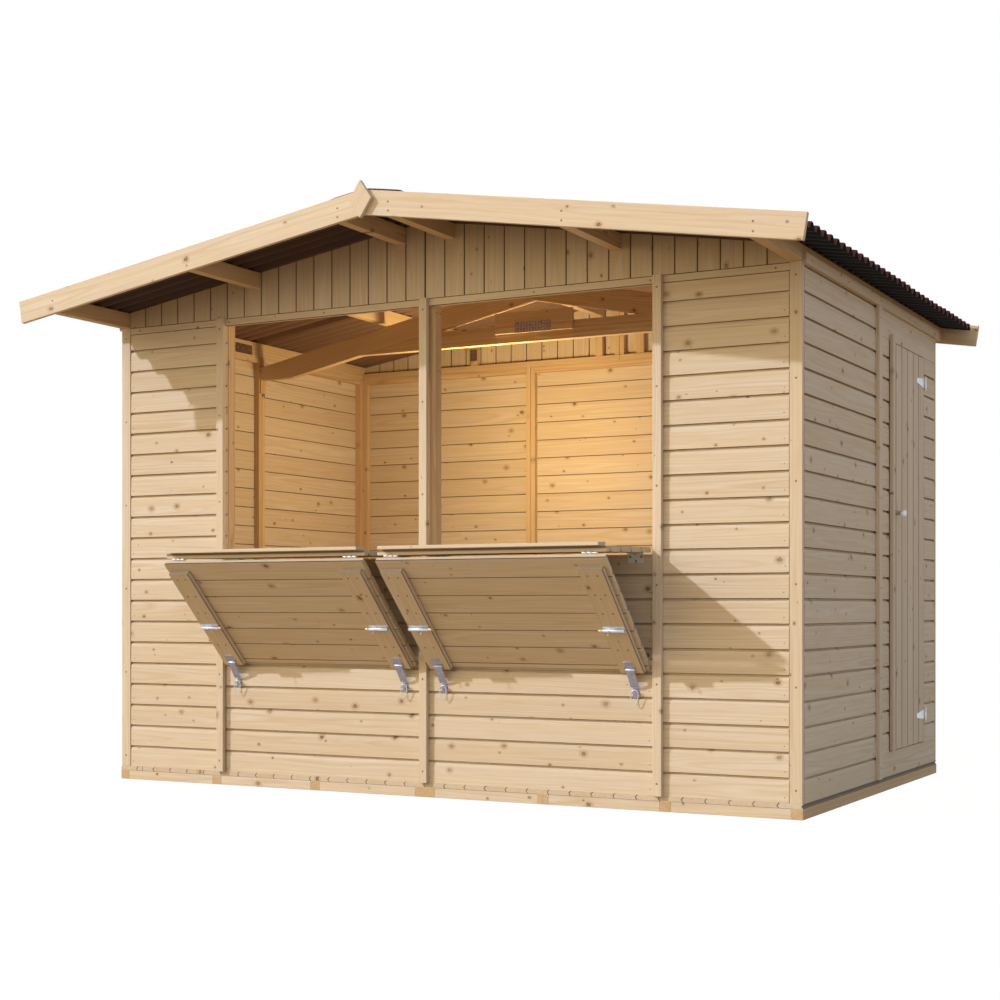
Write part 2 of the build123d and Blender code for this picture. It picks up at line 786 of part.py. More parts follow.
staple_xs = [x for side in (-1, 1) for x in hasp_centres(side)]
write("hasp_staples", [staple(x) for x in staple_xs] + [spring_hook(x) for x in staple_xs])
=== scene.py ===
import json
import math
import random

import bmesh
import bpy
from mathutils import Matrix, Vector


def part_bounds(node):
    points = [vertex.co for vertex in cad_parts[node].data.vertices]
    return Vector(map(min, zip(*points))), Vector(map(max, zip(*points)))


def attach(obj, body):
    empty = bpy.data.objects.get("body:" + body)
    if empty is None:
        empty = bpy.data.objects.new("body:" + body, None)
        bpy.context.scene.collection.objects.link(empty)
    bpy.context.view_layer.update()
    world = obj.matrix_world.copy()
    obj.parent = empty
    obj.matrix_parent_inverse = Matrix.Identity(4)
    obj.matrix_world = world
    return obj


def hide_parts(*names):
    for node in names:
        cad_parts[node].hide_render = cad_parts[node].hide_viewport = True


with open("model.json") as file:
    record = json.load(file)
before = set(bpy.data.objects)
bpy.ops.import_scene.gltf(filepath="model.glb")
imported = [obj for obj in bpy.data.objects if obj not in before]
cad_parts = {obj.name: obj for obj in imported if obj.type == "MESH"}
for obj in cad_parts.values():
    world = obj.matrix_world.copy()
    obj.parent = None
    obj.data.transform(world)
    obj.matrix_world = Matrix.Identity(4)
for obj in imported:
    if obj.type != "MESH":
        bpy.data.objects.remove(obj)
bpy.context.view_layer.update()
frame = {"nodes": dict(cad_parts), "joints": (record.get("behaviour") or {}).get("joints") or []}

# The looks of a wooden market stall: drop boards, vertical gable boards, planed battens and frames,
# a corrugated bitumen roof, two let-down counters and zinc-plated fittings. Metres, Z up.

chance = random.Random(41)
nodes = frame["nodes"]
joints = {joint["name"]: joint for joint in frame["joints"]}

# ---- sizes of what the joiner, the roofer and the ironmonger use ----
board_pitch = 0.088
board_gap = 0.0014
arris = 0.0015
steel_edge = 0.0004
rubbed_area = 0.0002
joint_vee = 0.0016
end_gap = 0.0024
seat_room = 0.0003
floor_board_pitch = 0.0882
wave_pitch = 0.0724
wave_depth = 0.0235
wave_cut = 0.74
wave_steps = 8.0
slope_points = 14
sheet_waves = 10
sheet_skin = 0.003
screw_radius = 0.0038
lobe_depth = 0.72
nail_radius = 0.0021

# ---- bounds that only the trees and the sorting of solids need ----
far_off = 9.0
no_roof = 1000.0
weld = 0.0001
fine_weld = 0.00008
eave_side = 1.3
ridge_side = 0.2


# ---- materials ----

def paint(text):
    """An sRGB hex colour as the linear values that a socket takes."""
    parts = [int(text[start:start + 2], 16) / 255 for start in (1, 3, 5)]
    return tuple(p / 12.92 if p <= 0.04045 else ((p + 0.055) / 1.055) ** 2.4 for p in parts) + (1.0,)


def add(tree, kind, inputs=(), **settings):
    """Add a node with its settings; a kind without "Node" in its name is a shader node.

    inputs are a list in the sockets' order, or a dictionary by number or name. An input gets a value, or a
    link from a socket or from a node's first output.
    """
    made = tree.nodes.new(kind if "Node" in kind else "ShaderNode" + kind)
    for key, value in settings.items():
        setattr(made, key, value)
    for key, value in inputs.items() if isinstance(inputs, dict) else enumerate(inputs):
        if isinstance(value, bpy.types.Node):
            value = next(socket for socket in value.outputs if socket.enabled)
        if isinstance(value, bpy.types.NodeSocket):
            tree.links.new(value, made.inputs[key])
        else:
            made.inputs[key].default_value = value
    return made


def empty_tree(owner):
    """The node tree of a material or a world, cleared."""
    owner.use_nodes = True
    owner.node_tree.nodes.clear()
    return owner.node_tree


def new_material(name):
    """A material with an empty tree."""
    material = bpy.data.materials.new(name)
    return material, empty_tree(material)


def dress(tree, colour, rough, bump, **others):
    """The shader and output that end a piece's material."""
    shader = add(tree, "BsdfPrincipled", {"Base Color": colour, "Roughness": rough, "Normal": bump})
    for key, value in others.items():
        shader.inputs[key.replace("_", " ")].default_value = value
    add(tree, "OutputMaterial", {"Surface": shader})


def seen_straight(tree):
    """1 for what is seen straight on, in a mirror or through glass, 0 for the light that is thrown on."""
    seen = add(tree, "LightPath").outputs
    straight = add(tree, "Math", [seen["Is Camera Ray"], seen["Is Glossy Ray"]], operation="MAXIMUM")
    return add(tree, "Math", [straight, seen["Is Transmission Ray"]], operation="MAXIMUM")


def spruce(name, early, late, knots, ring, roughness):
    """Spruce as its rings, fibre, streaks and knots, laid along each board by its grain attribute."""
    material, tree = new_material(name)
    grain, tone, end, joint = (add(tree, "Attribute", attribute_name=name).outputs
                               for name in ("grain", "tone", "end_face", "joint"))
    place = grain["Vector"]

    # A knot's edge is ragged by 2 mm, and knots are a third longer along the board than across it.
    ragged = add(tree, "TexNoise", {"Vector": place, "Scale": 150.0, "Detail": 2.0})
    ragged = add(tree, "VectorMath", [ragged.outputs["Color"], (0.5, 0.5, 0.5)], operation="SUBTRACT")
    ragged = add(tree, "VectorMath", [ragged, (0.006, 0.008, 0.0)], operation="MULTIPLY")
    flat = add(tree, "VectorMath", [place, (0.75, 1.0, 0.0), ragged], operation="MULTIPLY_ADD")

    def knot_set(cell, share, smallest, largest, shift):
        """How far a point is from the nearest knot, in knot radii; a share of the cells hold a knot."""
        spot = add(tree, "VectorMath", [flat, shift], operation="ADD")
        cells = add(tree, "TexVoronoi", {"Vector": spot, "Scale": 1 / cell}, voronoi_dimensions="2D")
        pick = add(tree, "SeparateColor", [cells.outputs["Color"]])
        radius = add(tree, "MapRange", {0: pick.outputs[1], 3: smallest, 4: largest})
        bare = add(tree, "Math", [pick.outputs[0], 1 - share], operation="LESS_THAN")
        metres = add(tree, "Math", [cells.outputs["Distance"], cell], operation="MULTIPLY")
        radii = add(tree, "Math", [metres, radius], operation="DIVIDE")
        radii = add(tree, "Math", [bare, 99.0, radii], operation="MULTIPLY_ADD")
        return radii, pick.outputs[2]

    branch, strength = knot_set(0.13, knots, 0.0026, 0.0068, (0.0, 0.0, 0.0))
    pin, _ = knot_set(0.14, knots, 0.0012, 0.0025, (3.1, 7.7, 0.0))
    near = add(tree, "Math", [branch, pin], operation="MINIMUM")
    halo = add(tree, "MapRange", [near, 3.6, 0.9], interpolation_type="SMOOTHERSTEP")
    # Some knots are sound and pale, others dark.
    strength = add(tree, "MapRange", [strength, 0.0, 0.7, 0.4, 1.0])
    core = add(tree, "MapRange", [near, 1.2, 0.85, 0.0, strength])
    bark = add(tree, "MapRange", [near, 0.25, 0.8], interpolation_type="SMOOTHSTEP")

    # Rings: distance from a pith that lies some centimetres off the board, wandering along its length
    # and pushed out beside knots.
    slow = add(tree, "VectorMath", [place, (1.1, 7.0, 7.0)], operation="MULTIPLY")
    wander = add(tree, "TexNoise", {"Vector": slow, "Scale": 1.0, "Detail": 2.0})
    across = add(tree, "VectorMath", [place, (0.0, 1.0, 1.0)], operation="MULTIPLY")
    out = add(tree, "VectorMath", [across], operation="LENGTH")
    out = add(tree, "Math", [wander, 0.03, out], operation="MULTIPLY_ADD")
    out = add(tree, "Math", [halo, 0.006, out], operation="MULTIPLY_ADD")
    turns = add(tree, "Math", [out, 1 / ring], operation="MULTIPLY")
    rings = add(tree, "TexNoise", {"W": turns, "Scale": 1.0, "Detail": 2.0}, noise_dimensions="1D")
    rings = add(tree, "MapRange", [rings, 0.35, 0.68])

    # Fibre: streaks 0.2 m long and 3 mm wide, drawn coarser than the real 0.5 mm so that they show.
    long = add(tree, "VectorMath", [place, (5.0, 320.0, 320.0)], operation="MULTIPLY")
    fibre = add(tree, "TexNoise", {"Vector": long, "Scale": 1.0, "Detail": 2.0})
    # Sapwood and resin: soft streaks 0.2 m long and 12 mm wide, some pinker and some yellower.
    wide = add(tree, "VectorMath", [place, (4.5, 80.0, 80.0)], operation="MULTIPLY")
    pinker = add(tree, "TexNoise", {"Vector": wide, "Scale": 1.0, "Detail": 3.0})
    pinker = add(tree, "MapRange", [pinker, 0.45, 0.75, 0.0, 0.5])
    broad = add(tree, "VectorMath", [place, (2.2, 24.0, 24.0)], operation="MULTIPLY")
    yellower = add(tree, "TexNoise", {"Vector": broad, "Scale": 1.0, "Detail": 2.0})
    yellower = add(tree, "MapRange", [yellower, 0.45, 0.7, 0.0, 0.4])

    haloed = add(tree, "Math", [halo, 0.5], operation="MULTIPLY")
    heart = add(tree, "Mix", {0: bark, 6: paint("#A98562"), 7: paint("#684B37")}, data_type="RGBA")
    wood = paint(early)
    for share, colour in ((rings, paint(late)), (yellower, paint("#D6C19C")), (pinker, paint("#C9AB8E")),
                          (haloed, paint("#A88A69")), (core, heart)):
        wood = add(tree, "Mix", {0: share, 6: wood, 7: colour}, data_type="RGBA")
    light = add(tree, "Math", [fibre, 0.07, 0.965], operation="MULTIPLY_ADD")
    cast = add(tree, "MapRange", {0: tone["Fac"], 3: 0.94, 4: 1.04})
    light = add(tree, "Math", [light, cast], operation="MULTIPLY")
    warm = add(tree, "MapRange", {0: tone["Fac"], 3: 1.1, 4: 0.92})
    shade = add(tree, "MapRange", {0: end["Fac"], 3: 1.0, 4: 0.92})
    light = add(tree, "Math", [light, shade], operation="MULTIPLY")
    wood = add(tree, "HueSaturation", {"Saturation": warm, "Value": light, "Color": wood})
    # Painted shade: the faces inside a joint, the recesses under the laps and some arrises are darkened to
    # stand in for the shade that falls there.
    painted_shade = add(tree, "Math", [joint["Fac"], 0.8], operation="MULTIPLY")
    wood = add(tree, "Mix", {0: painted_shade, 6: wood, 7: paint("#45301C")}, data_type="RGBA")
    rough = add(tree, "MapRange", [fibre, 0.3, 0.7, roughness - 0.07, roughness + 0.07])
    height = add(tree, "Math", [rings, 0.25, fibre], operation="MULTIPLY_ADD")
    height = add(tree, "Math", [core, -0.8, height], operation="MULTIPLY_ADD")
    bump = add(tree, "Bump", {"Strength": 0.4, "Distance": 0.0004, "Height": height})
    dress(tree, wood, rough, bump, Specular_IOR_Level=0.3)
    return material


def steel(name, light, dark, roughness, spangle, metallic=0.85):
    """Zinc on stamped steel: cloudy crystals some millimetres across, brighter and duller in turn."""
    material, tree = new_material(name)
    place = add(tree, "TexCoord").outputs["Object"]
    crystals = add(tree, "TexVoronoi", {"Vector": place, "Scale": 1 / spangle})
    pick = add(tree, "SeparateColor", [crystals.outputs["Color"]])
    clouds = add(tree, "TexNoise", {"Vector": place, "Scale": 60.0, "Detail": 3.0})
    share = add(tree, "Math", [pick.outputs[0], 0.5, clouds], operation="MULTIPLY_ADD")
    colour = add(tree, "Mix", {0: share, 6: paint(light), 7: paint(dark)}, data_type="RGBA")
    rough = add(tree, "MapRange", [share, 0.2, 1.1, roughness - 0.08, roughness + 0.1])
    bump = add(tree, "Bump", {"Strength": 0.25, "Distance": 0.0002, "Height": clouds})
    dress(tree, colour, rough, bump, Metallic=metallic)
    return material


def bitumen(name):
    """Pressed bitumen and fibre, painted dark red: dull, grained, greyer where dust lies."""
    material, tree = new_material(name)
    place = add(tree, "TexCoord").outputs["Object"]
    grit = add(tree, "TexNoise", {"Vector": place, "Scale": 420.0, "Detail": 2.0})
    patch = add(tree, "TexNoise", {"Vector": place, "Scale": 3.2, "Detail": 5.0})
    worn = add(tree, "MapRange", [patch, 0.35, 0.7])
    colour = add(tree, "Mix", {0: worn, 6: paint("#552C2A"), 7: paint("#6A3F3A")}, data_type="RGBA")
    flecks = add(tree, "MapRange", [grit, 0.3, 0.7, 0.8, 1.15])
    colour = add(tree, "HueSaturation", {"Value": flecks, "Color": colour})
    # The underside is unpainted: bare fibre soaked with bitumen. Painted shade makes it near black under
    # the eaves, and painted light makes it paler over the room.
    for region, bare in (("under", "#46332A"), ("eave_painted_shade", "#17110F"), ("indoor_painted_light", "#7D6252")):
        share = add(tree, "Attribute", attribute_name=region).outputs["Fac"]
        colour = add(tree, "Mix", {0: share, 6: colour, 7: paint(bare)}, data_type="RGBA")
    rough = add(tree, "MapRange", [grit, 0.3, 0.7, 0.78, 0.95])
    bump = add(tree, "Bump", {"Strength": 0.6, "Distance": 0.0006, "Height": grit})
    dress(tree, colour, rough, bump, Specular_IOR_Level=0.25)
    return material


# Spruce, planed: pale straw with soft rings, pink and yellow streaks and small brown knots, a faint sheen.
planed_spruce = spruce("planed_spruce", "#D6C7B4", "#CDB89D", 0.48, 0.0035, 0.66)
# Spruce, finely sawn: the frame timbers, duller than the planed boards; their more honey-brown colour is
# painted warm light, standing in for the warm light inside the room.
sawn_spruce_painted_warm_light = spruce("sawn_spruce_painted_warm_light", "#D3B994", "#BF996D", 0.42, 0.0035, 0.76)
# Bitumen sheet, pressed and corrugated: a dull maroon with a gritty surface, bare brown underneath.
pressed_bitumen = bitumen("pressed_bitumen_sheet")
# Steel, stamped and zinc-plated: bright grey-white fittings with a soft shine.
zinc_steel = steel("stamped_zinc_plated_steel", "#E4E4E6", "#C3C4C9", 0.4, 0.006)
# Steel, stamped and zinc-plated: a near-white, hardly metallic colour that is a painted reflection of the
# bright ground, in place of most reflections.
zinc_painted_bright = steel("zinc_steel_painted_bright", "#FBFAF6", "#E6E4E0", 0.42, 0.006, 0.1)
# Steel, stamped and zinc-plated, on the faces rubbed in use: a violet grey, duller.
rubbed_zinc = steel("rubbed_zinc_plated_steel", "#AAA3AA", "#8E878F", 0.46, 0.006)
# Steel, punched and hot-dip galvanised: the darker joining plates inside.
nail_plate_steel = steel("punched_galvanised_steel", "#B8A595", "#8F7C6E", 0.55, 0.008)
# Steel, headed and yellow-chromated: small screw heads close to the colour of the wood.
screw_steel = steel("yellow_chromated_steel", "#9C8458", "#6E5B3E", 0.5, 0.003)
# Steel, headed: the dark screws in the hinge plates, their colour painted shade for the shadow in their
# sockets.
hinge_screw_painted_shade = steel("hinge_screw_steel_painted_shade", "#5A544C", "#37332E", 0.45, 0.003)
# Brass, turned: the warm tip of a bolt.
turned_brass = steel("turned_brass", "#E6CFAC", "#D2B488", 0.34, 0.004, 0.6)


# ---- meshes ----

def as_mesh(name, work):
    """A working mesh as mesh data; the working mesh is freed."""
    mesh = bpy.data.meshes.new(name)
    work.to_mesh(mesh)
    work.free()
    return mesh


def new_object(name, data):
    """A new object in the scene."""
    made = bpy.data.objects.new(name, data)
    bpy.context.scene.collection.objects.link(made)
    return made


def working(mesh):
    """A working mesh from mesh data."""
    work = bmesh.new()
    work.from_mesh(mesh)
    return work


def cad_copy(name):
    """The CAD node's mesh with its doubles merged and its flat faces whole."""
    work = working(nodes[name].data)
    bmesh.ops.remove_doubles(work, verts=work.verts, dist=1e-5)
    bmesh.ops.dissolve_limit(work, angle_limit=math.radians(0.5), verts=work.verts, edges=work.edges)
    return work


def islands(work):
    """The connected parts of a mesh, each a list of its vertices, in the same order each run."""
    seen = set()
    found = []
    for start in work.verts:
        if start in seen:
            continue
        seen.add(start)
        stack, part = [start], []
        while stack:
            vert = stack.pop()
            part.append(vert)
            for edge in vert.link_edges:
                other = edge.other_vert(vert)
                if other not in seen:
                    seen.add(other)
                    stack.append(other)
        found.append(part)
    found.sort(key=lambda part: tuple(round(value, 4) for value in min((v.co for v in part), key=tuple)))
    return found


def corners(points):
    """Lowest and highest corner of some points."""
    points = list(points)
    low = Vector([min(p[axis] for p in points) for axis in range(3)])
    high = Vector([max(p[axis] for p in points) for axis in range(3)])
    return low, high


def part_box(part):
    """Lowest and highest corner of some vertices."""
    return corners(vert.co for vert in part)


def solid_boxes(name, move=None):
    """The box of each solid of a CAD node, as it lies before a move."""
    work = cad_copy(name)
    if move:
        work.transform(move.inverted())
    found = [part_box(part) for part in islands(work)]
    work.free()
    return found


def turned_box(low, high, degrees):
    """A turn about Z, and a box's corners as they lie before it."""
    spin = Matrix.Rotation(math.radians(degrees), 4, "Z")
    back = spin.inverted()
    return (spin,) + corners([back @ low, back @ high])


def lay_grain(work):
    """Give each board its own grain: metres along, across and through it from a random place in the log."""
    work.normal_update()
    grain = work.verts.layers.float_vector.new("grain")
    tone = work.verts.layers.float.new("tone")
    end = work.faces.layers.float.new("end_face")
    for part in islands(work):
        # Of equally long edges the last one found counts, which is the same one each run.
        edges = list(dict.fromkeys(edge for vert in part for edge in vert.link_edges))[::-1]
        faces = list(dict.fromkeys(face for vert in part for face in vert.link_faces))
        longest = max(edges, key=lambda edge: round(edge.calc_length(), 5))
        along = (longest.verts[1].co - longest.verts[0].co).normalized()
        level = [edge for edge in edges
                 if abs((edge.verts[1].co - edge.verts[0].co).normalized().dot(along)) < 0.2]
        widest = max(level or edges, key=lambda edge: round(edge.calc_length(), 5))
        side = widest.verts[1].co - widest.verts[0].co
        side = (side - along * side.dot(along)).normalized()
        through = along.cross(side)
        low, high = part_box(part)
        middle = (low + high) / 2
        shift = Vector((chance.uniform(0, 60), chance.uniform(-0.035, 0.035),
                        chance.choice((-1, 1)) * chance.uniform(0.015, 0.075)))
        shade = (chance.random() + chance.random()) / 2
        for vert in part:
            out = vert.co - middle
            vert[grain] = Vector((out.dot(along), out.dot(side), out.dot(through))) + shift
            vert[tone] = shade
        for face in faces:
            face[end] = 1.0 if abs(face.normal.dot(along)) > 0.8 else 0.0


def ease_edges(work, width, sharp=30.0, rounds=2):
    """Take the sharp arrises off."""
    edges = [edge for edge in work.edges
             if edge.is_manifold and edge.calc_face_angle(0) > math.radians(sharp)]
    bmesh.ops.bevel(work, geom=edges, offset=width, segments=rounds, profile=0.5, affect="EDGES",
                    clamp_overlap=True)


def place_piece(work, name, body, material, replaces=()):
    """Turn a finished mesh into a piece on its body, in its material's slot."""
    mesh = as_mesh(name, work)
    mesh.materials.clear()
    mesh.materials.append(material)
    piece = new_object(name, mesh)
    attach(piece, body)
    if replaces:
        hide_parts(*replaces)
    return piece


def timber(name, body, material=planed_spruce, edge=arris, rounds=2, painted_shade=None):
    """A CAD node of planed timbers, its arrises eased and each timber with its own grain.

    The last argument gives the shade painted on each face, up to 1 for the faces inside a joint.
    """
    work = cad_copy(name)
    lay_grain(work)
    ease_edges(work, edge, rounds=rounds)
    if painted_shade:
        work.normal_update()
        joint = work.faces.layers.float.new("joint")
        for face in work.faces:
            face[joint] = painted_shade(face)
    return place_piece(work, name + "_timber", body, material, [name])


def prism(outline, run, joints=None):
    """A board: an outline pushed along a run. joints gives the shade painted on each edge's face, up to 1
    for a face inside a joint.
    """
    work = bmesh.new()
    joint = work.faces.layers.float.new("joint")
    near = [work.verts.new(Vector(point)) for point in outline]
    far = [work.verts.new(Vector(point) + Vector(run)) for point in outline]
    work.faces.new(near)
    work.faces.new(reversed(far))
    for index, vert in enumerate(near):
        after = (index + 1) % len(near)
        face = work.faces.new((vert, far[index], far[after], near[after]))
        face[joint] = (joints or {}).get(index, 0.0)
    bmesh.ops.recalc_face_normals(work, faces=work.faces)
    return work


# ---- trees that repeat a shape ----

def new_tree(name, inputs):
    """A geometry tree with its named inputs: {name: (socket kind, value)}."""
    tree = bpy.data.node_groups.new(name, "GeometryNodeTree")
    tree.interface.new_socket("Geometry", in_out="INPUT", socket_type="NodeSocketGeometry")
    for key, (kind, value) in inputs.items():
        socket = tree.interface.new_socket(key, in_out="INPUT", socket_type="NodeSocket" + kind)
        if value is not None:
            socket.default_value = value
    tree.interface.new_socket("Geometry", in_out="OUTPUT", socket_type="NodeSocketGeometry")
    return tree, add(tree, "NodeGroupInput"), add(tree, "NodeGroupOutput")


def end_tree(tree, source, output, geometry):
    """The last two nodes of each tree: realized, with its material."""
    whole = add(tree, "GeometryNodeRealizeInstances", [geometry])
    dressed = add(tree, "GeometryNodeSetMaterial", {0: whole, "Material": source.outputs["Material"]})
    tree.links.new(dressed.outputs[0], output.inputs[0])


def board_row_tree():
    """Boards side by side: one board repeated by a step, trimmed to a box and under a roof line."""
    tree, source, output = new_tree("board_row", {
        "Count": ("Int", 10), "Step": ("Vector", None), "Trim Low": ("Vector", None),
        "Trim High": ("Vector", None), "Ridge Height": ("Float", no_roof), "Roof Slope": ("Float", 0.0),
        "Material": ("Material", None)})
    given = source.outputs
    line = add(tree, "GeometryNodeMeshLine", {"Count": given["Count"], "Offset": given["Step"]},
               mode="OFFSET")
    row = add(tree, "GeometryNodeInstanceOnPoints", {"Points": line, "Instance": given[0]})
    whole = add(tree, "GeometryNodeRealizeInstances", [row])
    place = add(tree, "GeometryNodeInputPosition")
    inside = add(tree, "VectorMath", [place, given["Trim Low"]], operation="MAXIMUM")
    inside = add(tree, "VectorMath", [inside, given["Trim High"]], operation="MINIMUM")
    parts = add(tree, "SeparateXYZ", [inside])
    reach = add(tree, "Math", [parts.outputs[0]], operation="ABSOLUTE")
    fall = add(tree, "Math", [reach, given["Roof Slope"]], operation="MULTIPLY")
    roof = add(tree, "Math", [given["Ridge Height"], fall], operation="SUBTRACT")
    height = add(tree, "Math", [parts.outputs[2], roof], operation="MINIMUM")
    cut = add(tree, "CombineXYZ", [parts.outputs[0], parts.outputs[1], height])
    placed = add(tree, "GeometryNodeSetPosition", {"Geometry": whole, "Position": cut})
    merged = add(tree, "GeometryNodeMergeByDistance", {"Geometry": placed, "Distance": fine_weld})
    end_tree(tree, source, output, merged)
    return tree


def wave_sheet_tree():
    """Corrugated sheets on one slope: waves run down the slope, and each sheet laps the next by a wave."""
    tree, source, output = new_tree("wave_sheets", {
        "Sheets": ("Int", 3), "Cover": ("Float", 0.855), "Waves": ("Int", 10),
        "Wave Pitch": ("Float", 0.095), "Wave Depth": ("Float", 0.02), "Length": ("Float", 1.6),
        "Skin": ("Float", 0.003), "Back Edge": ("Float", 1.0), "Roof Slope": ("Float", 0.16),
        "Material": ("Material", None)})
    given = source.outputs
    width = add(tree, "Math", [given["Waves"], given["Wave Pitch"]], operation="MULTIPLY")
    steps = add(tree, "Math", [given["Waves"], wave_steps, 1.0], operation="MULTIPLY_ADD")
    grid = add(tree, "GeometryNodeMeshGrid", {"Size X": given["Length"], "Size Y": width,
                                              "Vertices X": slope_points, "Vertices Y": steps})
    half = add(tree, "Math", [width, 0.5], operation="MULTIPLY")
    home = add(tree, "CombineXYZ", {1: half})
    grid = add(tree, "GeometryNodeSetPosition", {"Geometry": grid, "Offset": home})
    step = add(tree, "CombineXYZ", {1: given["Cover"]})
    line = add(tree, "GeometryNodeMeshLine", {"Count": given["Sheets"], "Offset": step}, mode="OFFSET")
    index = add(tree, "GeometryNodeInputIndex")
    odd = add(tree, "Math", [index, 2.0], operation="MODULO")
    lift = add(tree, "Math", [odd, given["Skin"]], operation="MULTIPLY")
    lift = add(tree, "Math", [lift, 1.1], operation="MULTIPLY")
    lift = add(tree, "CombineXYZ", {2: lift})
    line = add(tree, "GeometryNodeSetPosition", {"Geometry": line, "Offset": lift})
    laid = add(tree, "GeometryNodeInstanceOnPoints", {"Points": line, "Instance": grid})
    laid = add(tree, "GeometryNodeRealizeInstances", [laid])
    place = add(tree, "GeometryNodeInputPosition")
    parts = add(tree, "SeparateXYZ", [place])
    turns = add(tree, "Math", [parts.outputs[1], given["Wave Pitch"]], operation="DIVIDE")
    turns = add(tree, "Math", [turns, math.tau], operation="MULTIPLY")
    wave = add(tree, "Math", [turns], operation="COSINE")
    # Crests and hollows are flat where the cosine is cut off.
    wave = add(tree, "MapRange", [wave, -wave_cut, wave_cut])
    wave = add(tree, "Math", [wave, given["Wave Depth"]], operation="MULTIPLY")
    half_length = add(tree, "Math", [given["Length"], 0.5, parts.outputs[0]], operation="MULTIPLY_ADD")
    fall = add(tree, "Math", [half_length, given["Roof Slope"]], operation="MULTIPLY")
    rise = add(tree, "Math", [wave, fall], operation="SUBTRACT")
    rise = add(tree, "Math", [rise, parts.outputs[2]], operation="ADD")
    back = add(tree, "Math", [parts.outputs[1], given["Back Edge"]], operation="MINIMUM")
    form = add(tree, "CombineXYZ", [half_length, back, rise])
    top = add(tree, "GeometryNodeSetPosition", {"Geometry": laid, "Position": form})
    top = add(tree, "GeometryNodeMergeByDistance", {"Geometry": top, "Distance": weld})
    down = add(tree, "Math", [given["Skin"], -1.0], operation="MULTIPLY")
    down = add(tree, "CombineXYZ", {2: down})
    under = add(tree, "GeometryNodeExtrudeMesh", {"Mesh": top, "Offset": down, "Individual": False})
    marked = add(tree, "GeometryNodeStoreNamedAttribute",
                 {"Geometry": under, "Name": "under", "Value": under.outputs[1]},
                 data_type="FLOAT", domain="FACE")
    under = add(tree, "GeometryNodeFlipFaces", [marked])
    both = add(tree, "GeometryNodeJoinGeometry", [under])
    tree.links.new(top.outputs[0], both.inputs[0])
    whole = add(tree, "GeometryNodeMergeByDistance", {"Geometry": both, "Distance": weld})
    end_tree(tree, source, output, whole)
    return tree


def fixings_tree():
    """Screws and nails: one head set on each point, turned to face out, each with its own twist."""
    tree, source, output = new_tree("fixings", {
        "Head": ("Object", None), "Seed": ("Int", 7), "Material": ("Material", None)})
    given = source.outputs
    facing = add(tree, "GeometryNodeInputNamedAttribute", ["facing"], data_type="FLOAT_VECTOR")
    turned = add(tree, "FunctionNodeAlignRotationToVector", {"Vector": facing}, axis="Z")
    spin = add(tree, "FunctionNodeRandomValue", {2: 0.0, 3: math.tau, "Seed": given["Seed"]},
               data_type="FLOAT")
    about = add(tree, "CombineXYZ", {2: spin})
    turned = add(tree, "FunctionNodeRotateRotation", [turned, about], rotation_space="LOCAL")
    head = add(tree, "GeometryNodeObjectInfo", [given["Head"]])
    heads = add(tree, "GeometryNodeInstanceOnPoints",
                {"Points": given[0], "Instance": head.outputs["Geometry"], "Rotation": turned})
    end_tree(tree, source, output, heads)
    return tree


board_row = board_row_tree()
wave_sheets = wave_sheet_tree()
fixings = fixings_tree()


def grown(tree, work, values):
    """Run a tree on a mesh and return what it makes as a plain mesh; the helper object goes."""
    mesh = as_mesh("seed", work)
    helper = new_object("seed", mesh)
    modifier = helper.modifiers.new("rows", "NODES")
    modifier.node_group = tree
    for item in tree.interface.items_tree:
        if item.in_out == "INPUT" and item.name in values:
            modifier[item.identifier] = values[item.name]
    graph = bpy.context.evaluated_depsgraph_get()
    made = bpy.data.meshes.new_from_object(helper.evaluated_get(graph), depsgraph=graph)
    result = working(made)
    bpy.data.objects.remove(helper)
    bpy.data.meshes.remove(mesh)
    bpy.data.meshes.remove(made)
    return result


def gather(works):
    """Several meshes as one."""
    whole = bmesh.new()
    for work in works:
        mesh = as_mesh("part", work)
        whole.from_mesh(mesh)
        bpy.data.meshes.remove(mesh)
    return whole


# ---- boarded walls ----

# Drop board: (out, up) from its inner face and its foot. Full thickness below, then a near-upright strip
# and a steep step in to the lap of the next board, with a groove in its foot and a tongue on its head.
# The next table gives the shade painted on each face: up to 1 for the faces inside the joint, and less on
# the inner vees, the board's foot, the crease, the step and the recess under the lap, standing in for their
# shadow.
board_head = board_pitch - board_gap
drop_board = [(joint_vee, 0.0), (0.0034, 0.0), (0.0034, 0.005), (0.0066, 0.005), (0.0066, 0.0),
              (0.0182, 0.0), (0.019, 0.0008), (0.019, 0.0650), (0.0181, 0.0672), (0.0168, 0.0790),
              (0.0100, 0.0805), (0.0088, 0.0812), (0.0088, board_head), (0.0062, board_head),
              (0.0062, board_head + 0.005), (0.0038, board_head + 0.005), (0.0038, board_head),
              (joint_vee, board_head), (0.0, board_head - joint_vee), (0.0, joint_vee)]
drop_painted_shade = {0: 1.0, 1: 1.0, 2: 1.0, 3: 1.0, 4: 0.2, 7: 0.15, 10: 0.1, 11: 0.15, 12: 0.6,
               13: 1.0, 14: 1.0, 15: 1.0, 16: 1.0, 17: 0.8, 19: 0.8}


def drop_boards(low, high, turn, first=None):
    """A panel of horizontal drop boards that fills a box. turn is 0 for a front, 90 for the right side."""
    spin, low, high = turned_box(low, high, turn)
    first = low.z if first is None else first
    rows = math.ceil((high.z - first) / board_pitch - 0.02)
    inner = high.y
    outline = [(low.x + end_gap, inner - out, first + up) for out, up in drop_board]
    work = grown(board_row, prism(outline, (high.x - low.x - 2 * end_gap, 0, 0), drop_painted_shade), {
        "Count": rows, "Step": (0.0, 0.0, board_pitch), "Trim Low": (-far_off, -far_off, low.z),
        "Trim High": (far_off, far_off, high.z), "Material": planed_spruce})
    work.transform(spin)
    return work


def board_piece(work, name, body, node):
    """A finished mesh of planed boards as a piece, each board with its own grain."""
    lay_grain(work)
    return place_piece(work, name, body, planed_spruce, [node])


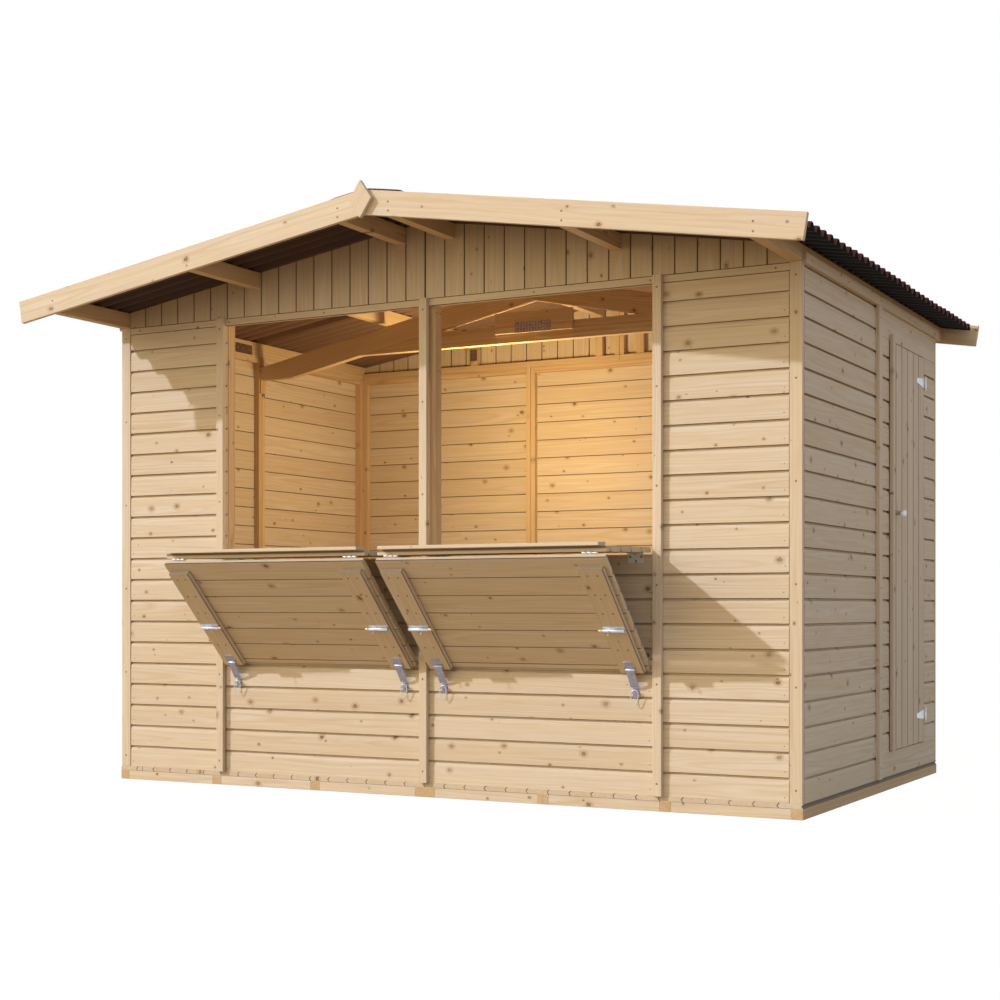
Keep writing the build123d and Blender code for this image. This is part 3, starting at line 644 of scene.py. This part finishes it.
# Each boarded wall with the way it is turned, and the axis and sign that a turn faces.
wall_turns = {"front_walls": 0, "sill_walls": 0, "left_wall": -90, "right_wall_front": 90,
              "right_wall_beside_door": 90, "back_wall": 180}
turn_faces = {0: (1, -1), -90: (0, -1), 90: (0, 1), 180: (1, 1)}
wall_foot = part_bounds("front_walls")[0].z
# Beside the door the boards start one board up, over the threshold.
first_board = {"right_wall_beside_door": wall_foot + board_pitch}
for name, turn in wall_turns.items():
    panels = [drop_boards(low, high, turn, first_board.get(name)) for low, high in solid_boxes(name)]
    board_piece(gather(panels), name + "_boards", "frame", name)


def upright_boards(low, high, outer_y, inner_y, boards, ridge=no_roof, slope=0.0, gap=0.002, vee=0.002):
    """Upright tongued boards with a vee at each joint, between two X places and under a roof line."""
    pitch = (high.x - low.x) / boards
    deep = inner_y - outer_y
    left, right = gap / 2, pitch - gap / 2
    nose = vee / abs(deep)
    section = [(left + vee, 0.0), (right - vee, 0.0), (right, nose), (right, 0.42), (right + 0.005, 0.42),
               (right + 0.005, 0.58), (right, 0.58), (right, 1.0 - nose), (right - vee, 1.0),
               (left + vee, 1.0), (left, 1.0 - nose), (left, 0.62), (left + 0.0045, 0.62),
               (left + 0.0045, 0.38), (left, 0.38), (left, nose)]
    # Painted shade on the tongue and groove faces and, a little less, on the vees.
    upright_painted_shade = {index: 1.0 for index in (2, 3, 4, 5, 6, 10, 11, 12, 13, 14)}
    upright_painted_shade.update({1: 0.8, 7: 0.8, 9: 0.8, 15: 0.8})
    outline = [(low.x + x, outer_y + deep * share, low.z) for x, share in section]
    return grown(board_row, prism(outline, (0, 0, high.z - low.z), upright_painted_shade), {
        "Count": boards, "Step": (pitch, 0.0, 0.0), "Trim Low": (-far_off, -far_off, low.z),
        "Trim High": (high.x, far_off, high.z), "Ridge Height": ridge, "Roof Slope": slope,
        "Material": planed_spruce})


# Roof line from the sheets' box: underside at the ridge gap and at the eaves.
sheet_low, sheet_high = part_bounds("roof_sheets")
sheet_points = [v.co for v in nodes["roof_sheets"].data.vertices]
ridge_gap = min(abs(p.x) for p in sheet_points)
near_ridge = min(p.z for p in sheet_points if abs(p.x) < ridge_gap + 0.001)
near_eave = min(p.z for p in sheet_points)
roof_slope = (near_ridge - near_eave) / (sheet_high.x - ridge_gap)
ridge_height = near_ridge + roof_slope * ridge_gap


def gable_boards():
    """Both gables: upright boards either side of a slightly wider middle joint, notched for the purlins."""
    works = []
    half_boards, half_gap = 17, 0.001
    for low, high in solid_boxes("gables"):
        outer, inner = (low.y, high.y) if low.y < 0 else (high.y, low.y)
        for left, right in ((low.x, -half_gap), (half_gap, high.x)):
            works.append(upright_boards(Vector((left, 0, low.z)), Vector((right, 0, high.z)), outer, inner,
                                        half_boards, ridge_height, roof_slope))
    work = gather(works)
    lay_grain(work)
    wall = new_object("gable_cut", as_mesh("gable_cut", work))
    cutter = new_object("purlin_cut", as_mesh("purlin_cut", cad_copy("purlins")))
    notch = wall.modifiers.new("notch", "BOOLEAN")
    notch.object = cutter
    notch.operation = "DIFFERENCE"
    notch.solver = "EXACT"
    graph = bpy.context.evaluated_depsgraph_get()
    result = working(bpy.data.meshes.new_from_object(
        wall.evaluated_get(graph), preserve_all_data_layers=True, depsgraph=graph))
    bpy.data.objects.remove(wall)
    bpy.data.objects.remove(cutter)
    return place_piece(result, "gable_boards", "frame", planed_spruce, ["gables"])


gable_boards()


def floor_planks():
    """Floor boards front to back; each tongue is a ridge and each groove a vee, seen at the front edge."""
    low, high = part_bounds("floor_boards")
    count = round((high.x - low.x) / floor_board_pitch)
    pitch = (high.x - low.x) / count
    foot, top = low.z, high.z
    middle = (foot + top) / 2
    gap, arrow = 0.0032, 0.007
    section = [(gap, foot), (pitch, foot), (pitch - arrow, middle), (pitch, top - 0.001),
               (pitch - 0.001, top), (gap + 0.001, top), (gap, top - 0.001), (gap - arrow, middle)]
    # Painted shade on the faces of each vee and, a little less, on the small top chamfers beside it.
    marked = {1: 1.0, 2: 1.0, 3: 0.6, 5: 0.6, 6: 1.0, 7: 1.0}
    work = grown(board_row, prism([(low.x + x, low.y, z) for x, z in section],
                                  (0, high.y - low.y, 0), marked), {
        "Count": count, "Step": (pitch, 0.0, 0.0), "Trim Low": tuple(low), "Trim High": tuple(high),
        "Material": planed_spruce})
    board_piece(work, "floor_planks", "frame", "floor_boards")


floor_planks()

# ---- plain timbers ----


def head_rail():
    """The rail over the counters: a planed board with an open vee joint above and below it."""
    low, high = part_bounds("front_head_rail")
    vee = 0.003
    outline = [(low.x, y, z) for y, z in (
        (low.y, low.z + vee), (low.y + vee, low.z), (high.y - arris, low.z), (high.y, low.z + arris),
        (high.y, high.z - arris), (high.y - arris, high.z), (low.y + vee, high.z), (low.y, high.z - vee))]
    # Painted shade on the open vees above and below the rail and, a little less, on its top and bottom
    # faces.
    work = prism(outline, (high.x - low.x, 0, 0), {0: 1.0, 1: 0.3, 5: 0.3, 6: 1.0})
    board_piece(work, "head_rail_board", "frame", "front_head_rail")


head_rail()

for name in ("right_wall_over_door", "right_wall_threshold", "cover_battens",
             "eave_covers", "bargeboards", "finials"):
    timber(name, "frame")
# Painted shade on the rims' top faces, which shows as a thin dark line where the floor boards sit on them.
timber("floor_rims", "frame", painted_shade=lambda face: 0.9 if face.normal.z > 0.2 else 0.0)
# The frame timbers' honey-brown colour is painted warm light.
for name in ("floor_joists", "front_frame", "back_frame", "side_frames", "gable_frames",
             "purlins", "truss_rafters", "truss_collar", "truss_pads", "truss_gusset"):
    timber(name, "frame", sawn_spruce_painted_warm_light)


# ---- flaps ----

def opened(side, brace=False):
    """The move from the closed flap to its rest pose, from the joints' places and ranges."""
    sill = joints["counter_hinge_" + side]
    fold = joints["brace_hinge_" + side]
    sill_place = Vector(sill["pos_m"])
    fold_place = Vector(fold["pos_m"])

    def about(place, degrees):
        there = Matrix.Translation(place)
        return there @ Matrix.Rotation(math.radians(degrees), 4, "X") @ there.inverted()

    counter = about(sill_place, max(sill["range_deg"]))
    if not brace:
        return counter
    return about(fold_place, max(fold["range_deg"])) @ counter


def flap_boards(name, body, move):
    """A flap leaf: drop boards laid in the closed wall, then moved with the flap."""
    work = cad_copy(name)
    work.transform(move.inverted())
    low, high = part_box(work.verts)
    work.free()
    high.y -= seat_room
    work = drop_boards(low, high, 0)
    lay_grain(work)
    work.transform(move)
    return place_piece(work, name + "_boards", body, planed_spruce, [name])


for side in ("left", "right"):
    flap_boards("counter_board_" + side, "counter_" + side, opened(side))
    flap_boards("brace_board_" + side, "brace_" + side, opened(side, True))
    timber("counter_strip_" + side, "counter_" + side)
    # Painted shade on the ledges' small faces, their wide chamfers among them, which draws dark lines along
    # the arrises.
    timber("brace_ledges_" + side, "brace_" + side, edge=0.0032, rounds=1,
           painted_shade=lambda face: 0.85 if face.calc_area() < 0.0035 else 0.0)

# ---- side door ----


def door_boards():
    """The door leaf: upright boards with a vee at each joint."""
    spin, low, high = turned_box(*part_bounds("door_leaf"), 90)
    boards = round((high.x - low.x) / board_pitch)
    work = upright_boards(low, high, low.y, high.y, boards, gap=0.0026, vee=0.0024)
    work.transform(spin)
    board_piece(work, "door_boards", "door", "door_leaf")


door_boards()
for name in ("door_ledges", "door_strip"):
    timber(name, "door")


# ---- roof ----

def roof():
    """Corrugated sheets, each lapping the next by one wave, bare underneath."""
    works = []
    depth = sheet_high.y - sheet_low.y
    cover = (sheet_waves - 1) * wave_pitch
    for side in (1, -1):
        work = grown(wave_sheets, bmesh.new(), {
            "Sheets": math.ceil((depth - wave_pitch) / cover), "Cover": cover, "Waves": sheet_waves,
            "Wave Pitch": wave_pitch, "Wave Depth": wave_depth, "Length": sheet_high.x - ridge_gap,
            "Skin": sheet_skin, "Back Edge": depth, "Roof Slope": roof_slope, "Material": pressed_bitumen})
        for vert in work.verts:
            vert.co = Vector((side * (ridge_gap + vert.co.x), sheet_low.y + vert.co.y,
                              near_ridge + sheet_skin + vert.co.z))
        if side < 0:
            bmesh.ops.reverse_faces(work, faces=work.faces)
        works.append(work)
    work = gather(works)
    under = work.faces.layers.float["under"]
    # Painted light on the underside: the faces over the room are marked to be paler, and those beyond the
    # side walls to be near black as painted shade.
    indoor_painted_light = work.faces.layers.float.new("indoor_painted_light")
    eave_painted_shade = work.faces.layers.float.new("eave_painted_shade")
    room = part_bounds("left_wall")[0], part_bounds("right_wall_front")[1]
    for face in work.faces:
        face.smooth = True
        spot = face.calc_center_median()
        inside = room[0].x < spot.x < room[1].x and abs(spot.y) < -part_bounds("gables")[0].y
        face[indoor_painted_light] = face[under] if inside else 0.0
        face[eave_painted_shade] = face[under] if abs(spot.x) > room[1].x else 0.0
    place_piece(work, "wave_sheets", "frame", pressed_bitumen, ["roof_sheets"])


roof()


def ridge():
    """The ridge piece: a folded strip with a round fold and turned-down lips."""
    low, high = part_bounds("ridge_cap")
    steps, fold, clear, lip = 8, 0.016, 0.0005, 0.001
    outer = []
    for step in range(-steps, steps + 1):
        x = high.x * step / steps
        soft = math.sqrt(x * x + fold ** 2) - fold
        outer.append((x, high.z - clear - roof_slope * soft - (lip if abs(step) == steps else 0.0)))
    outline = [(x, low.y, z) for x, z in outer] + [(x, low.y, z - sheet_skin) for x, z in reversed(outer)]
    work = prism(outline, (0, high.y - low.y, 0))
    for face in work.faces:
        face.smooth = abs(face.normal.y) < 0.5
    place_piece(work, "ridge_strip", "frame", pressed_bitumen, ["ridge_cap"])


ridge()

# ---- fittings ----


def fitting(name, body, rubbed_below=None, material=zinc_steel):
    """A CAD node of steel fittings, its edges eased; its larger faces below a height are rubbed dull."""
    work = cad_copy(name)
    ease_edges(work, steel_edge, 40.0, 1)
    piece = place_piece(work, name + "_steel", body, material, [name])
    if rubbed_below:
        piece.data.materials.append(rubbed_zinc)
        for face in piece.data.polygons:
            face.material_index = int(face.center.z < rubbed_below and face.area > rubbed_area)
    return piece


# The wall hinges' near-white colour is a painted reflection of the bright ground.
fitting("wall_hinges", "frame", material=zinc_painted_bright)
fitting("door_straps", "door")
fitting("door_knob", "door")
for side in ("left", "right"):
    fitting("counter_hinges_" + side, "counter_" + side)
    fitting("brace_hardware_" + side, "brace_" + side, 0.6)


def join_rings(work, rings):
    """Faces between each ring of vertices and the next."""
    for a, b in zip(rings, rings[1:]):
        for k, after in enumerate(list(range(1, len(a))) + [0]):
            work.faces.new((a[k], a[after], b[after], b[k]))


def tube(path, radius, sides=8, closed=False):
    """A round wire along some points, of one radius or with a radius for each point."""
    work = bmesh.new()
    radii = radius if isinstance(radius, tuple) else (radius,) * len(path)
    rings = []
    count = len(path)
    for index, point in enumerate(path):
        before = path[index - 1] if closed or index else point
        after = path[(index + 1) % count] if closed or index < count - 1 else point
        ahead = (after - before).normalized()
        side = ahead.cross(Vector((0, 1, 0)) if abs(ahead.y) < 0.9 else Vector((1, 0, 0))).normalized()
        up = ahead.cross(side)
        rings.append([work.verts.new(point + radii[index] * (math.cos(math.tau * k / sides) * side
                                                       + math.sin(math.tau * k / sides) * up))
                      for k in range(sides)])
    join_rings(work, rings + rings[:1] if closed else rings)
    if not closed:
        work.faces.new(rings[0])
        work.faces.new(reversed(rings[-1]))
    bmesh.ops.recalc_face_normals(work, faces=work.faces)
    for face in work.faces:
        face.smooth = len(face.verts) == 4
    return work


# Bolt tip: (along from the rod's end, radius). Knob: (forward, down, radius) from where it leaves the rod.
tip_profile = ((-0.0146, 0.0052), (-0.0142, 0.0056), (-0.0008, 0.0056), (0.0006, 0.0046))
knob_profile = ((0.0, 0.0, 0.0014), (0.004, 0.012, 0.0014), (0.005, 0.0125, 0.0026),
                (0.0062, 0.019, 0.0026), (0.0064, 0.0195, 0.0012))
knob_back, knob_out = 0.04, 0.005
bolt_long = 0.09


def bolt_tips(side):
    """The brass tip of each bolt's rod and the small knob that hangs below its barrel."""
    work = cad_copy("brace_hardware_" + side)
    works = []
    for part in islands(work):
        low, high = part_box(part)
        if high.x - low.x < bolt_long:
            continue
        ends = [corners(vert.co for vert in part if abs(vert.co.x - x) < 0.0005) for x in (low.x, high.x)]
        rod_low, rod_high = min(ends, key=lambda end: end[1].z - end[0].z)
        middle = (rod_low + rod_high) / 2
        reach = Vector((1 if middle.x > (low.x + high.x) / 2 else -1, 0, 0))
        works.append(tube([middle + reach * along for along, _ in tip_profile],
                          tuple(radius for _, radius in tip_profile), 14))
        knob = middle - reach * knob_back + Vector((0, -knob_out, 0))
        works.append(tube([knob + Vector((0, -ahead, -down)) for ahead, down, _ in knob_profile],
                          tuple(radius for _, _, radius in knob_profile), 8))
    work.free()
    place_piece(gather(works), "bolt_tips_" + side, "brace_" + side, turned_brass)


for side in ("left", "right"):
    bolt_tips(side)


def staples():
    """The staples of the hasps, and in each a pear-shaped wire ring that hangs from it."""
    staple_wide, ring_points = 0.01, 30
    ring_half, ring_drop, ring_rise, pear, ahead, wire = 0.0135, 0.024, 0.026, 0.35, 0.002, 0.0017
    work = cad_copy("hasp_staples")
    boxes = []
    for part in islands(work):
        low, high = part_box(part)
        if high.x - low.x < staple_wide:
            boxes.append((low, high))
            bmesh.ops.delete(work, geom=part, context="VERTS")
    ease_edges(work, steel_edge, 40.0, 1)
    place_piece(work, "hasp_staples_steel", "frame", rubbed_zinc, ["hasp_staples"])
    works = []
    for low, high in boxes:
        middle = (low + high) / 2
        path = []
        for step in range(ring_points):
            turn = math.tau * step / ring_points
            wide = ring_half * (1.0 + pear * math.sin(turn))
            path.append(Vector((middle.x + wide * math.cos(turn), middle.y - ahead,
                                high.z - ring_drop + ring_rise * math.sin(turn))))
        works.append(tube(path, wire, 6, True))
    place_piece(gather(works), "hasp_rings", "frame", zinc_steel)


staples()

# ---- screws, nails and plates ----


def lathe(outline, sides, lobes=()):
    """A small turned head: rings of (radius, height) round Z. Rings in lobes are a six-lobed socket."""
    work = bmesh.new()
    rings = []
    for index, (radius, height) in enumerate(outline):
        ring = []
        for k in range(sides):
            out = radius * (lobe_depth if index in lobes and k % 2 else 1.0)
            turn = math.tau * k / sides
            ring.append(work.verts.new((out * math.cos(turn), out * math.sin(turn), height)))
        rings.append(ring)
    join_rings(work, rings)
    work.faces.new(reversed(rings[0]))
    work.faces.new(rings[-1])
    bmesh.ops.recalc_face_normals(work, faces=work.faces)
    return work


def turned_head(name, *shape):
    """A head that a tree sets on points; it goes when all are set."""
    return new_object(name, as_mesh(name, lathe(*shape)))


screw_head = turned_head("screw_head", [
    (screw_radius, -0.0012), (screw_radius, 0.0002), (screw_radius * 0.86, 0.0006), (0.0017, 0.0006),
    (0.0014, -0.0008)], 12, (3, 4))
nail_head = turned_head("nail_head", [
    (nail_radius, -0.001), (nail_radius, 0.0002), (nail_radius * 0.6, 0.0005)], 8)
cap_head = turned_head("cap_head", [
    (0.0125, -0.002), (0.0125, 0.0012), (0.0095, 0.0035), (0.005, 0.0052), (0.0018, 0.0056)], 10)


def set_heads(name, body, head, spots, material, seed):
    """Heads on some (place, facing) spots as one piece."""
    work = bmesh.new()
    facing = work.verts.layers.float_vector.new("facing")
    for place, way in spots:
        vert = work.verts.new(place)
        vert[facing] = Vector(way)
    made = grown(fixings, work, {"Head": head, "Seed": seed, "Material": material})
    for face in made.faces:
        face.smooth = False
    return place_piece(made, name, body, material)


def outward(axis, sign):
    """A step of 1 m along an axis."""
    way = Vector((0, 0, 0))
    way[axis] = sign
    return way


def along_face(name, axis, sign, spacing, inset, rows=(0.5,), move=None, keep=None):
    """Spots in rows along the long side of each solid of a node, on one of its faces."""
    spots = []
    for low, high in solid_boxes(name, move):
        if keep and not keep(low, high):
            continue
        way = sign or (1 if low[axis] + high[axis] > 0 else -1)
        size = high - low
        others = [k for k in range(3) if k != axis]
        long_axis, short_axis = sorted(others, key=lambda k: -size[k])
        count = max(2, round((size[long_axis] - 2 * inset) / spacing) + 1)
        for k in range(count):
            for row in rows:
                spot = Vector((0, 0, 0))
                spot[axis] = high[axis] if way > 0 else low[axis]
                spot[long_axis] = low[long_axis] + inset + (size[long_axis] - 2 * inset) * k / (count - 1)
                spot[short_axis] = low[short_axis] + size[short_axis] * row
                out = outward(axis, way)
                if move:
                    out = (move @ (spot + out)) - (move @ spot)
                    spot = move @ spot
                spots.append((spot, out))
    return spots


def faces_front(low, high):
    """Whether a batten lies on the front or back wall."""
    return high.y - low.y < high.x - low.x


trim_spots = along_face("cover_battens", 1, 0, 0.36, 0.045, keep=faces_front)
trim_spots += along_face("cover_battens", 0, 0, 0.36, 0.045,
                         keep=lambda low, high: not faces_front(low, high))
trim_spots += along_face("eave_covers", 0, 0, 0.45, 0.06)
trim_spots += along_face("front_head_rail", 1, -1, 0.48, 0.05)
purlin_boxes = solid_boxes("purlins")
screw_lift = 0.016
for low, high in solid_boxes("bargeboards"):
    way, face = (-1, low.y) if low.y < 0 else (1, high.y)
    for a, b in purlin_boxes:
        x, height = (a.x + b.x) / 2, (a.z + b.z) / 2
        if low.x < x < high.x:
            trim_spots += [(Vector((x, face, height + lift)), outward(1, way))
                           for lift in (-screw_lift, screw_lift)]
set_heads("trim_screws", "frame", screw_head, trim_spots, screw_steel, 3)
# A ledge has two rows of screws that start 30 mm from its ends.
ledge_rows = (0.03, (0.3, 0.7))
for side in ("left", "right"):
    ledge_spots = along_face("brace_ledges_" + side, 1, 1, board_pitch, *ledge_rows, opened(side, True))
    set_heads("ledge_screws_" + side, "brace_" + side, screw_head, ledge_spots, screw_steel, 5)
    strip_spots = along_face("counter_strip_" + side, 1, 1, 0.2, 0.04, (0.5,), opened(side))
    set_heads("counter_screws_" + side, "counter_" + side, screw_head, strip_spots, screw_steel, 9)
set_heads("door_screws", "door", screw_head, along_face("door_ledges", 0, -1, board_pitch, *ledge_rows),
          screw_steel, 11)


def board_nails(name, axis, sign):
    """Nails through each drop board into the studs, near both ends of each panel."""
    reach, foot, stray = 0.018, 0.02, 0.003
    spots = []
    across = 1 - axis
    for low, high in solid_boxes(name):
        studs = [low[across] + reach, high[across] - reach]
        rows = math.floor((high.z - low.z) / board_pitch)
        for row in range(rows):
            for stud in studs:
                spot = Vector((0, 0, low.z + row * board_pitch + foot + chance.uniform(-stray, stray)))
                spot[axis] = high[axis] if sign > 0 else low[axis]
                spot[across] = stud + chance.uniform(-stray, stray)
                spots.append((spot, outward(axis, sign)))
    return spots


nail_spots = []
for name, turn in wall_turns.items():
    nail_spots += board_nails(name, *turn_faces[turn])
set_heads("board_nails", "frame", nail_head, nail_spots, screw_steel, 13)

# Countersunk screws: three in each hinge plate on the wall.
plate_face = -0.9346
plate_spots = []
for low, high in solid_boxes("wall_hinges"):
    if high.x - low.x > 0.03:
        for x, up in ((0.008, 0.0215), (0.052, 0.0215), (0.03, 0.0065)):
            plate_spots.append((Vector((low.x + x, plate_face, low.z + up)), (0, -1, 0)))
# Their dark colour is painted shade for the shadow in the screw holes.
set_heads("hinge_screws", "frame", screw_head, plate_spots, hinge_screw_painted_shade, 15)

# Roofing nails with moulded caps: through every second crest, over the middle and eave purlins.
roof_spots = []
normal = Vector((roof_slope, 0, 1)).normalized()
for a, b in purlin_boxes:
    x = (a.x + b.x) / 2
    if abs(x) < ridge_side:
        continue
    top = near_ridge - roof_slope * (abs(x) - ridge_gap) + sheet_skin + wave_depth
    y = sheet_low.y + wave_pitch
    while y < sheet_high.y - 0.03:
        roof_spots.append((Vector((x, y, top)), (math.copysign(normal.x, x), 0, normal.z)))
        y += 2 * wave_pitch
set_heads("roof_nail_caps", "frame", cap_head, roof_spots, pressed_bitumen, 17)


def punched_plate(size, holes, thick):
    """A flat plate in X and Z with its back at Y 0, punched with round or oblong holes: (x, z, rx, rz)."""
    work = bmesh.new()

    def loop(points):
        verts = [work.verts.new((x, 0.0, z)) for x, z in points]
        for index, vert in enumerate(verts):
            work.edges.new((vert, verts[(index + 1) % len(verts)]))

    wide, tall = size
    soft = 0.0015
    loop([(soft, 0), (wide - soft, 0), (wide, soft), (wide, tall - soft), (wide - soft, tall), (soft, tall),
          (0, tall - soft), (0, soft)])
    for x, z, rx, rz in holes:
        sides = 12 if rx == rz else 8
        loop([(x + rx * math.cos(math.tau * k / sides), z + rz * math.sin(math.tau * k / sides))
              for k in range(sides)])
    bmesh.ops.triangle_fill(work, edges=work.edges, use_beauty=True)
    pushed = bmesh.ops.extrude_face_region(work, geom=list(work.faces))
    bmesh.ops.translate(work, vec=(0, -thick, 0),
                        verts=[item for item in pushed["geom"] if isinstance(item, bmesh.types.BMVert)])
    bmesh.ops.recalc_face_normals(work, faces=work.faces)
    return work


# The plates stand just clear of the wood behind them.
plate_gap = 0.0002

# The toothed plate that joins the gusset's two boards: rows of punched slots, every other one raised.
gusset_low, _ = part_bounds("truss_gusset")
slots = [(0.0085 + 0.0141 * column, 0.0075 + 0.0135 * row + 0.003 * (column % 2), 0.0026, 0.0042)
         for column in range(12) for row in range(3)]
toothed = punched_plate((0.172, 0.045), slots, 0.0012)
toothed.transform(Matrix.Translation((gusset_low.x + 0.1, gusset_low.y - plate_gap, gusset_low.z)))
place_piece(toothed, "toothed_plate", "frame", nail_plate_steel)

# Three-hole plates across the joint of each eave purlin, with bright screws in them.
strap_long, strap_tall, strap_thick = 0.13, 0.043, 0.0016
strap_y, strap_z = -0.202, 1.912
strap_holes = (0.022, 0.065, 0.108)
hole_up, hole_radius = 0.0215, 0.0042
strap_spots = []
straps = []
for a, b in purlin_boxes:
    if abs(a.x) < eave_side:
        continue
    inward, face = (1, b.x) if a.x < 0 else (-1, a.x)
    holes = [(x, hole_up, hole_radius, hole_radius) for x in strap_holes]
    plate = punched_plate((strap_long, strap_tall), holes, strap_thick)
    plate.transform(Matrix.Translation((face, strap_y, strap_z))
                    @ Matrix.Rotation(math.radians(90 * inward), 4, "Z")
                    @ Matrix.Translation((0 if inward > 0 else -strap_long, -plate_gap, 0)))
    straps.append(plate)
    for x in strap_holes:
        place = Vector((face + inward * strap_thick, strap_y + x, strap_z + hole_up))
        strap_spots.append((place, (inward, 0, 0)))
place_piece(gather(straps), "purlin_straps", "frame", nail_plate_steel)
set_heads("strap_screws", "frame", screw_head, strap_spots, zinc_steel, 19)

# A bracket on the back gable's left post, with two holes.
bracket = punched_plate((0.036, 0.056), [(0.018, up, 0.003, 0.003) for up in (0.014, 0.042)], 0.002)
bracket.transform(Matrix.Translation((-0.814, 0.8858, 1.961)))
place_piece(bracket, "post_bracket", "frame", nail_plate_steel)

for helper in (screw_head, nail_head, cap_head):
    bpy.data.objects.remove(helper)

# ---- floor, lamps, camera ----

floor_half, floor_top = 30, -0.001
floor_mesh = bpy.data.meshes.new("studio_floor")
floor_mesh.from_pydata([(x * floor_half, y * floor_half, floor_top)
                        for x, y in ((-1, -1), (1, -1), (1, 1), (-1, 1))], [], [(0, 1, 2, 3)])
studio_floor = new_object("studio_floor", floor_mesh)
paper, tree = new_material("white_paper_floor")
share = add(tree, "Math", [seen_straight(tree), 0.92], operation="MULTIPLY")
matt = add(tree, "BsdfDiffuse", {"Color": paint("#927B5F")})
glow = add(tree, "Emission", {"Color": paint("#FFFFFF"), "Strength": 1.08})
mixed = add(tree, "MixShader", [share, matt, glow])
add(tree, "OutputMaterial", {"Surface": mixed})
floor_mesh.materials.append(paper)

world = bpy.data.worlds.new("studio")
bpy.context.scene.world = world
sky = empty_tree(world)
straight = seen_straight(sky)
way = add(sky, "TexCoord").outputs["Generated"]
way = add(sky, "SeparateXYZ", [way])
turn = add(sky, "MapRange", [way.outputs[0], -0.3, 0.7])
# Low on the right the light has come by way of warm wood and paving: dimmer and yellower.
rise = add(sky, "MapRange", [way.outputs[2], 0.0, 0.4, 0.45, 1.0])
pale = add(sky, "Math", [turn, rise], operation="MULTIPLY")
tint = add(sky, "Mix", {0: pale, 6: paint("#FAE3AD"), 7: paint("#CEE4FF")}, data_type="RGBA")
even = add(sky, "MapRange", {0: turn, 3: 1.4, 4: 0.9})
lost = add(sky, "Math", [turn, pale], operation="SUBTRACT")
lost = add(sky, "Math", [lost, -0.5, 1.0], operation="MULTIPLY_ADD")
# Straight up the sky is dim.
high_up = add(sky, "MapRange", [way.outputs[2], 0.35, 1.0, 1.0, 0.4])
for share in (lost, high_up):
    even = add(sky, "Math", [even, share], operation="MULTIPLY")
# In front it is brighter, more so to the left and low down.
fore = add(sky, "MapRange", [way.outputs[1], 0.1, -0.6])
beside = add(sky, "MapRange", [way.outputs[0], 0.3, -0.4, 0.0, 0.9])
low_down = add(sky, "MapRange", [way.outputs[2], 0.3, 0.0, 0.0, 0.55])
for shares in ((beside, high_up), (low_down,)):
    extra = fore
    for share in shares:
        extra = add(sky, "Math", [extra, share], operation="MULTIPLY")
    even = add(sky, "Math", [even, extra], operation="ADD")
fill = add(sky, "Background", {"Color": tint, "Strength": even})
white = add(sky, "Background", {"Color": paint("#FFFFFF"), "Strength": 1.0})
both = add(sky, "MixShader", [straight, fill, white])
add(sky, "OutputWorld", {"Surface": both})


def lamp(name, kind, energy, colour):
    """A lamp of a kind, with its object."""
    light = bpy.data.lights.new(name, kind)
    light.energy = energy
    light.color = paint(colour)[:3]
    return light, new_object(name, light)


sun, key = lamp("key_lamp", "SUN", 2.72, "#E8F0FF")
sun.angle = math.radians(1.2)
key.rotation_euler = Vector((0.53, 0.42, -0.41)).to_track_quat("-Z", "Y").to_euler()

# Inside: a small warm bulb under the truss and a larger, paler one lower and further right.
for name, place, power, size, colour in (("ridge_bulb", (-0.24, 0.07, 1.55), 29.0, 0.08, "#FFE0A0"),
                                         ("counter_bulb", (0.75, 0.05, 1.05), 9.5, 0.25, "#CFE2FF")):
    light, bulb = lamp(name, "POINT", power, colour)
    light.shadow_soft_size = size
    bulb.location = place
    bulb.visible_camera = False
    bulb.visible_glossy = False

lens = bpy.data.cameras.new("view")
lens.sensor_width = 36.0
lens.sensor_fit = "HORIZONTAL"
lens.lens = 60.526
lens.shift_y = 0.1071
viewer = new_object("view", lens)
viewer.location = (3.2938, -6.4815, 0.7282)
viewer.rotation_euler = (math.radians(90.0), 0.0, math.radians(28.147))
bpy.context.scene.camera = viewer
bpy.context.scene.view_settings.view_transform = "Standard"
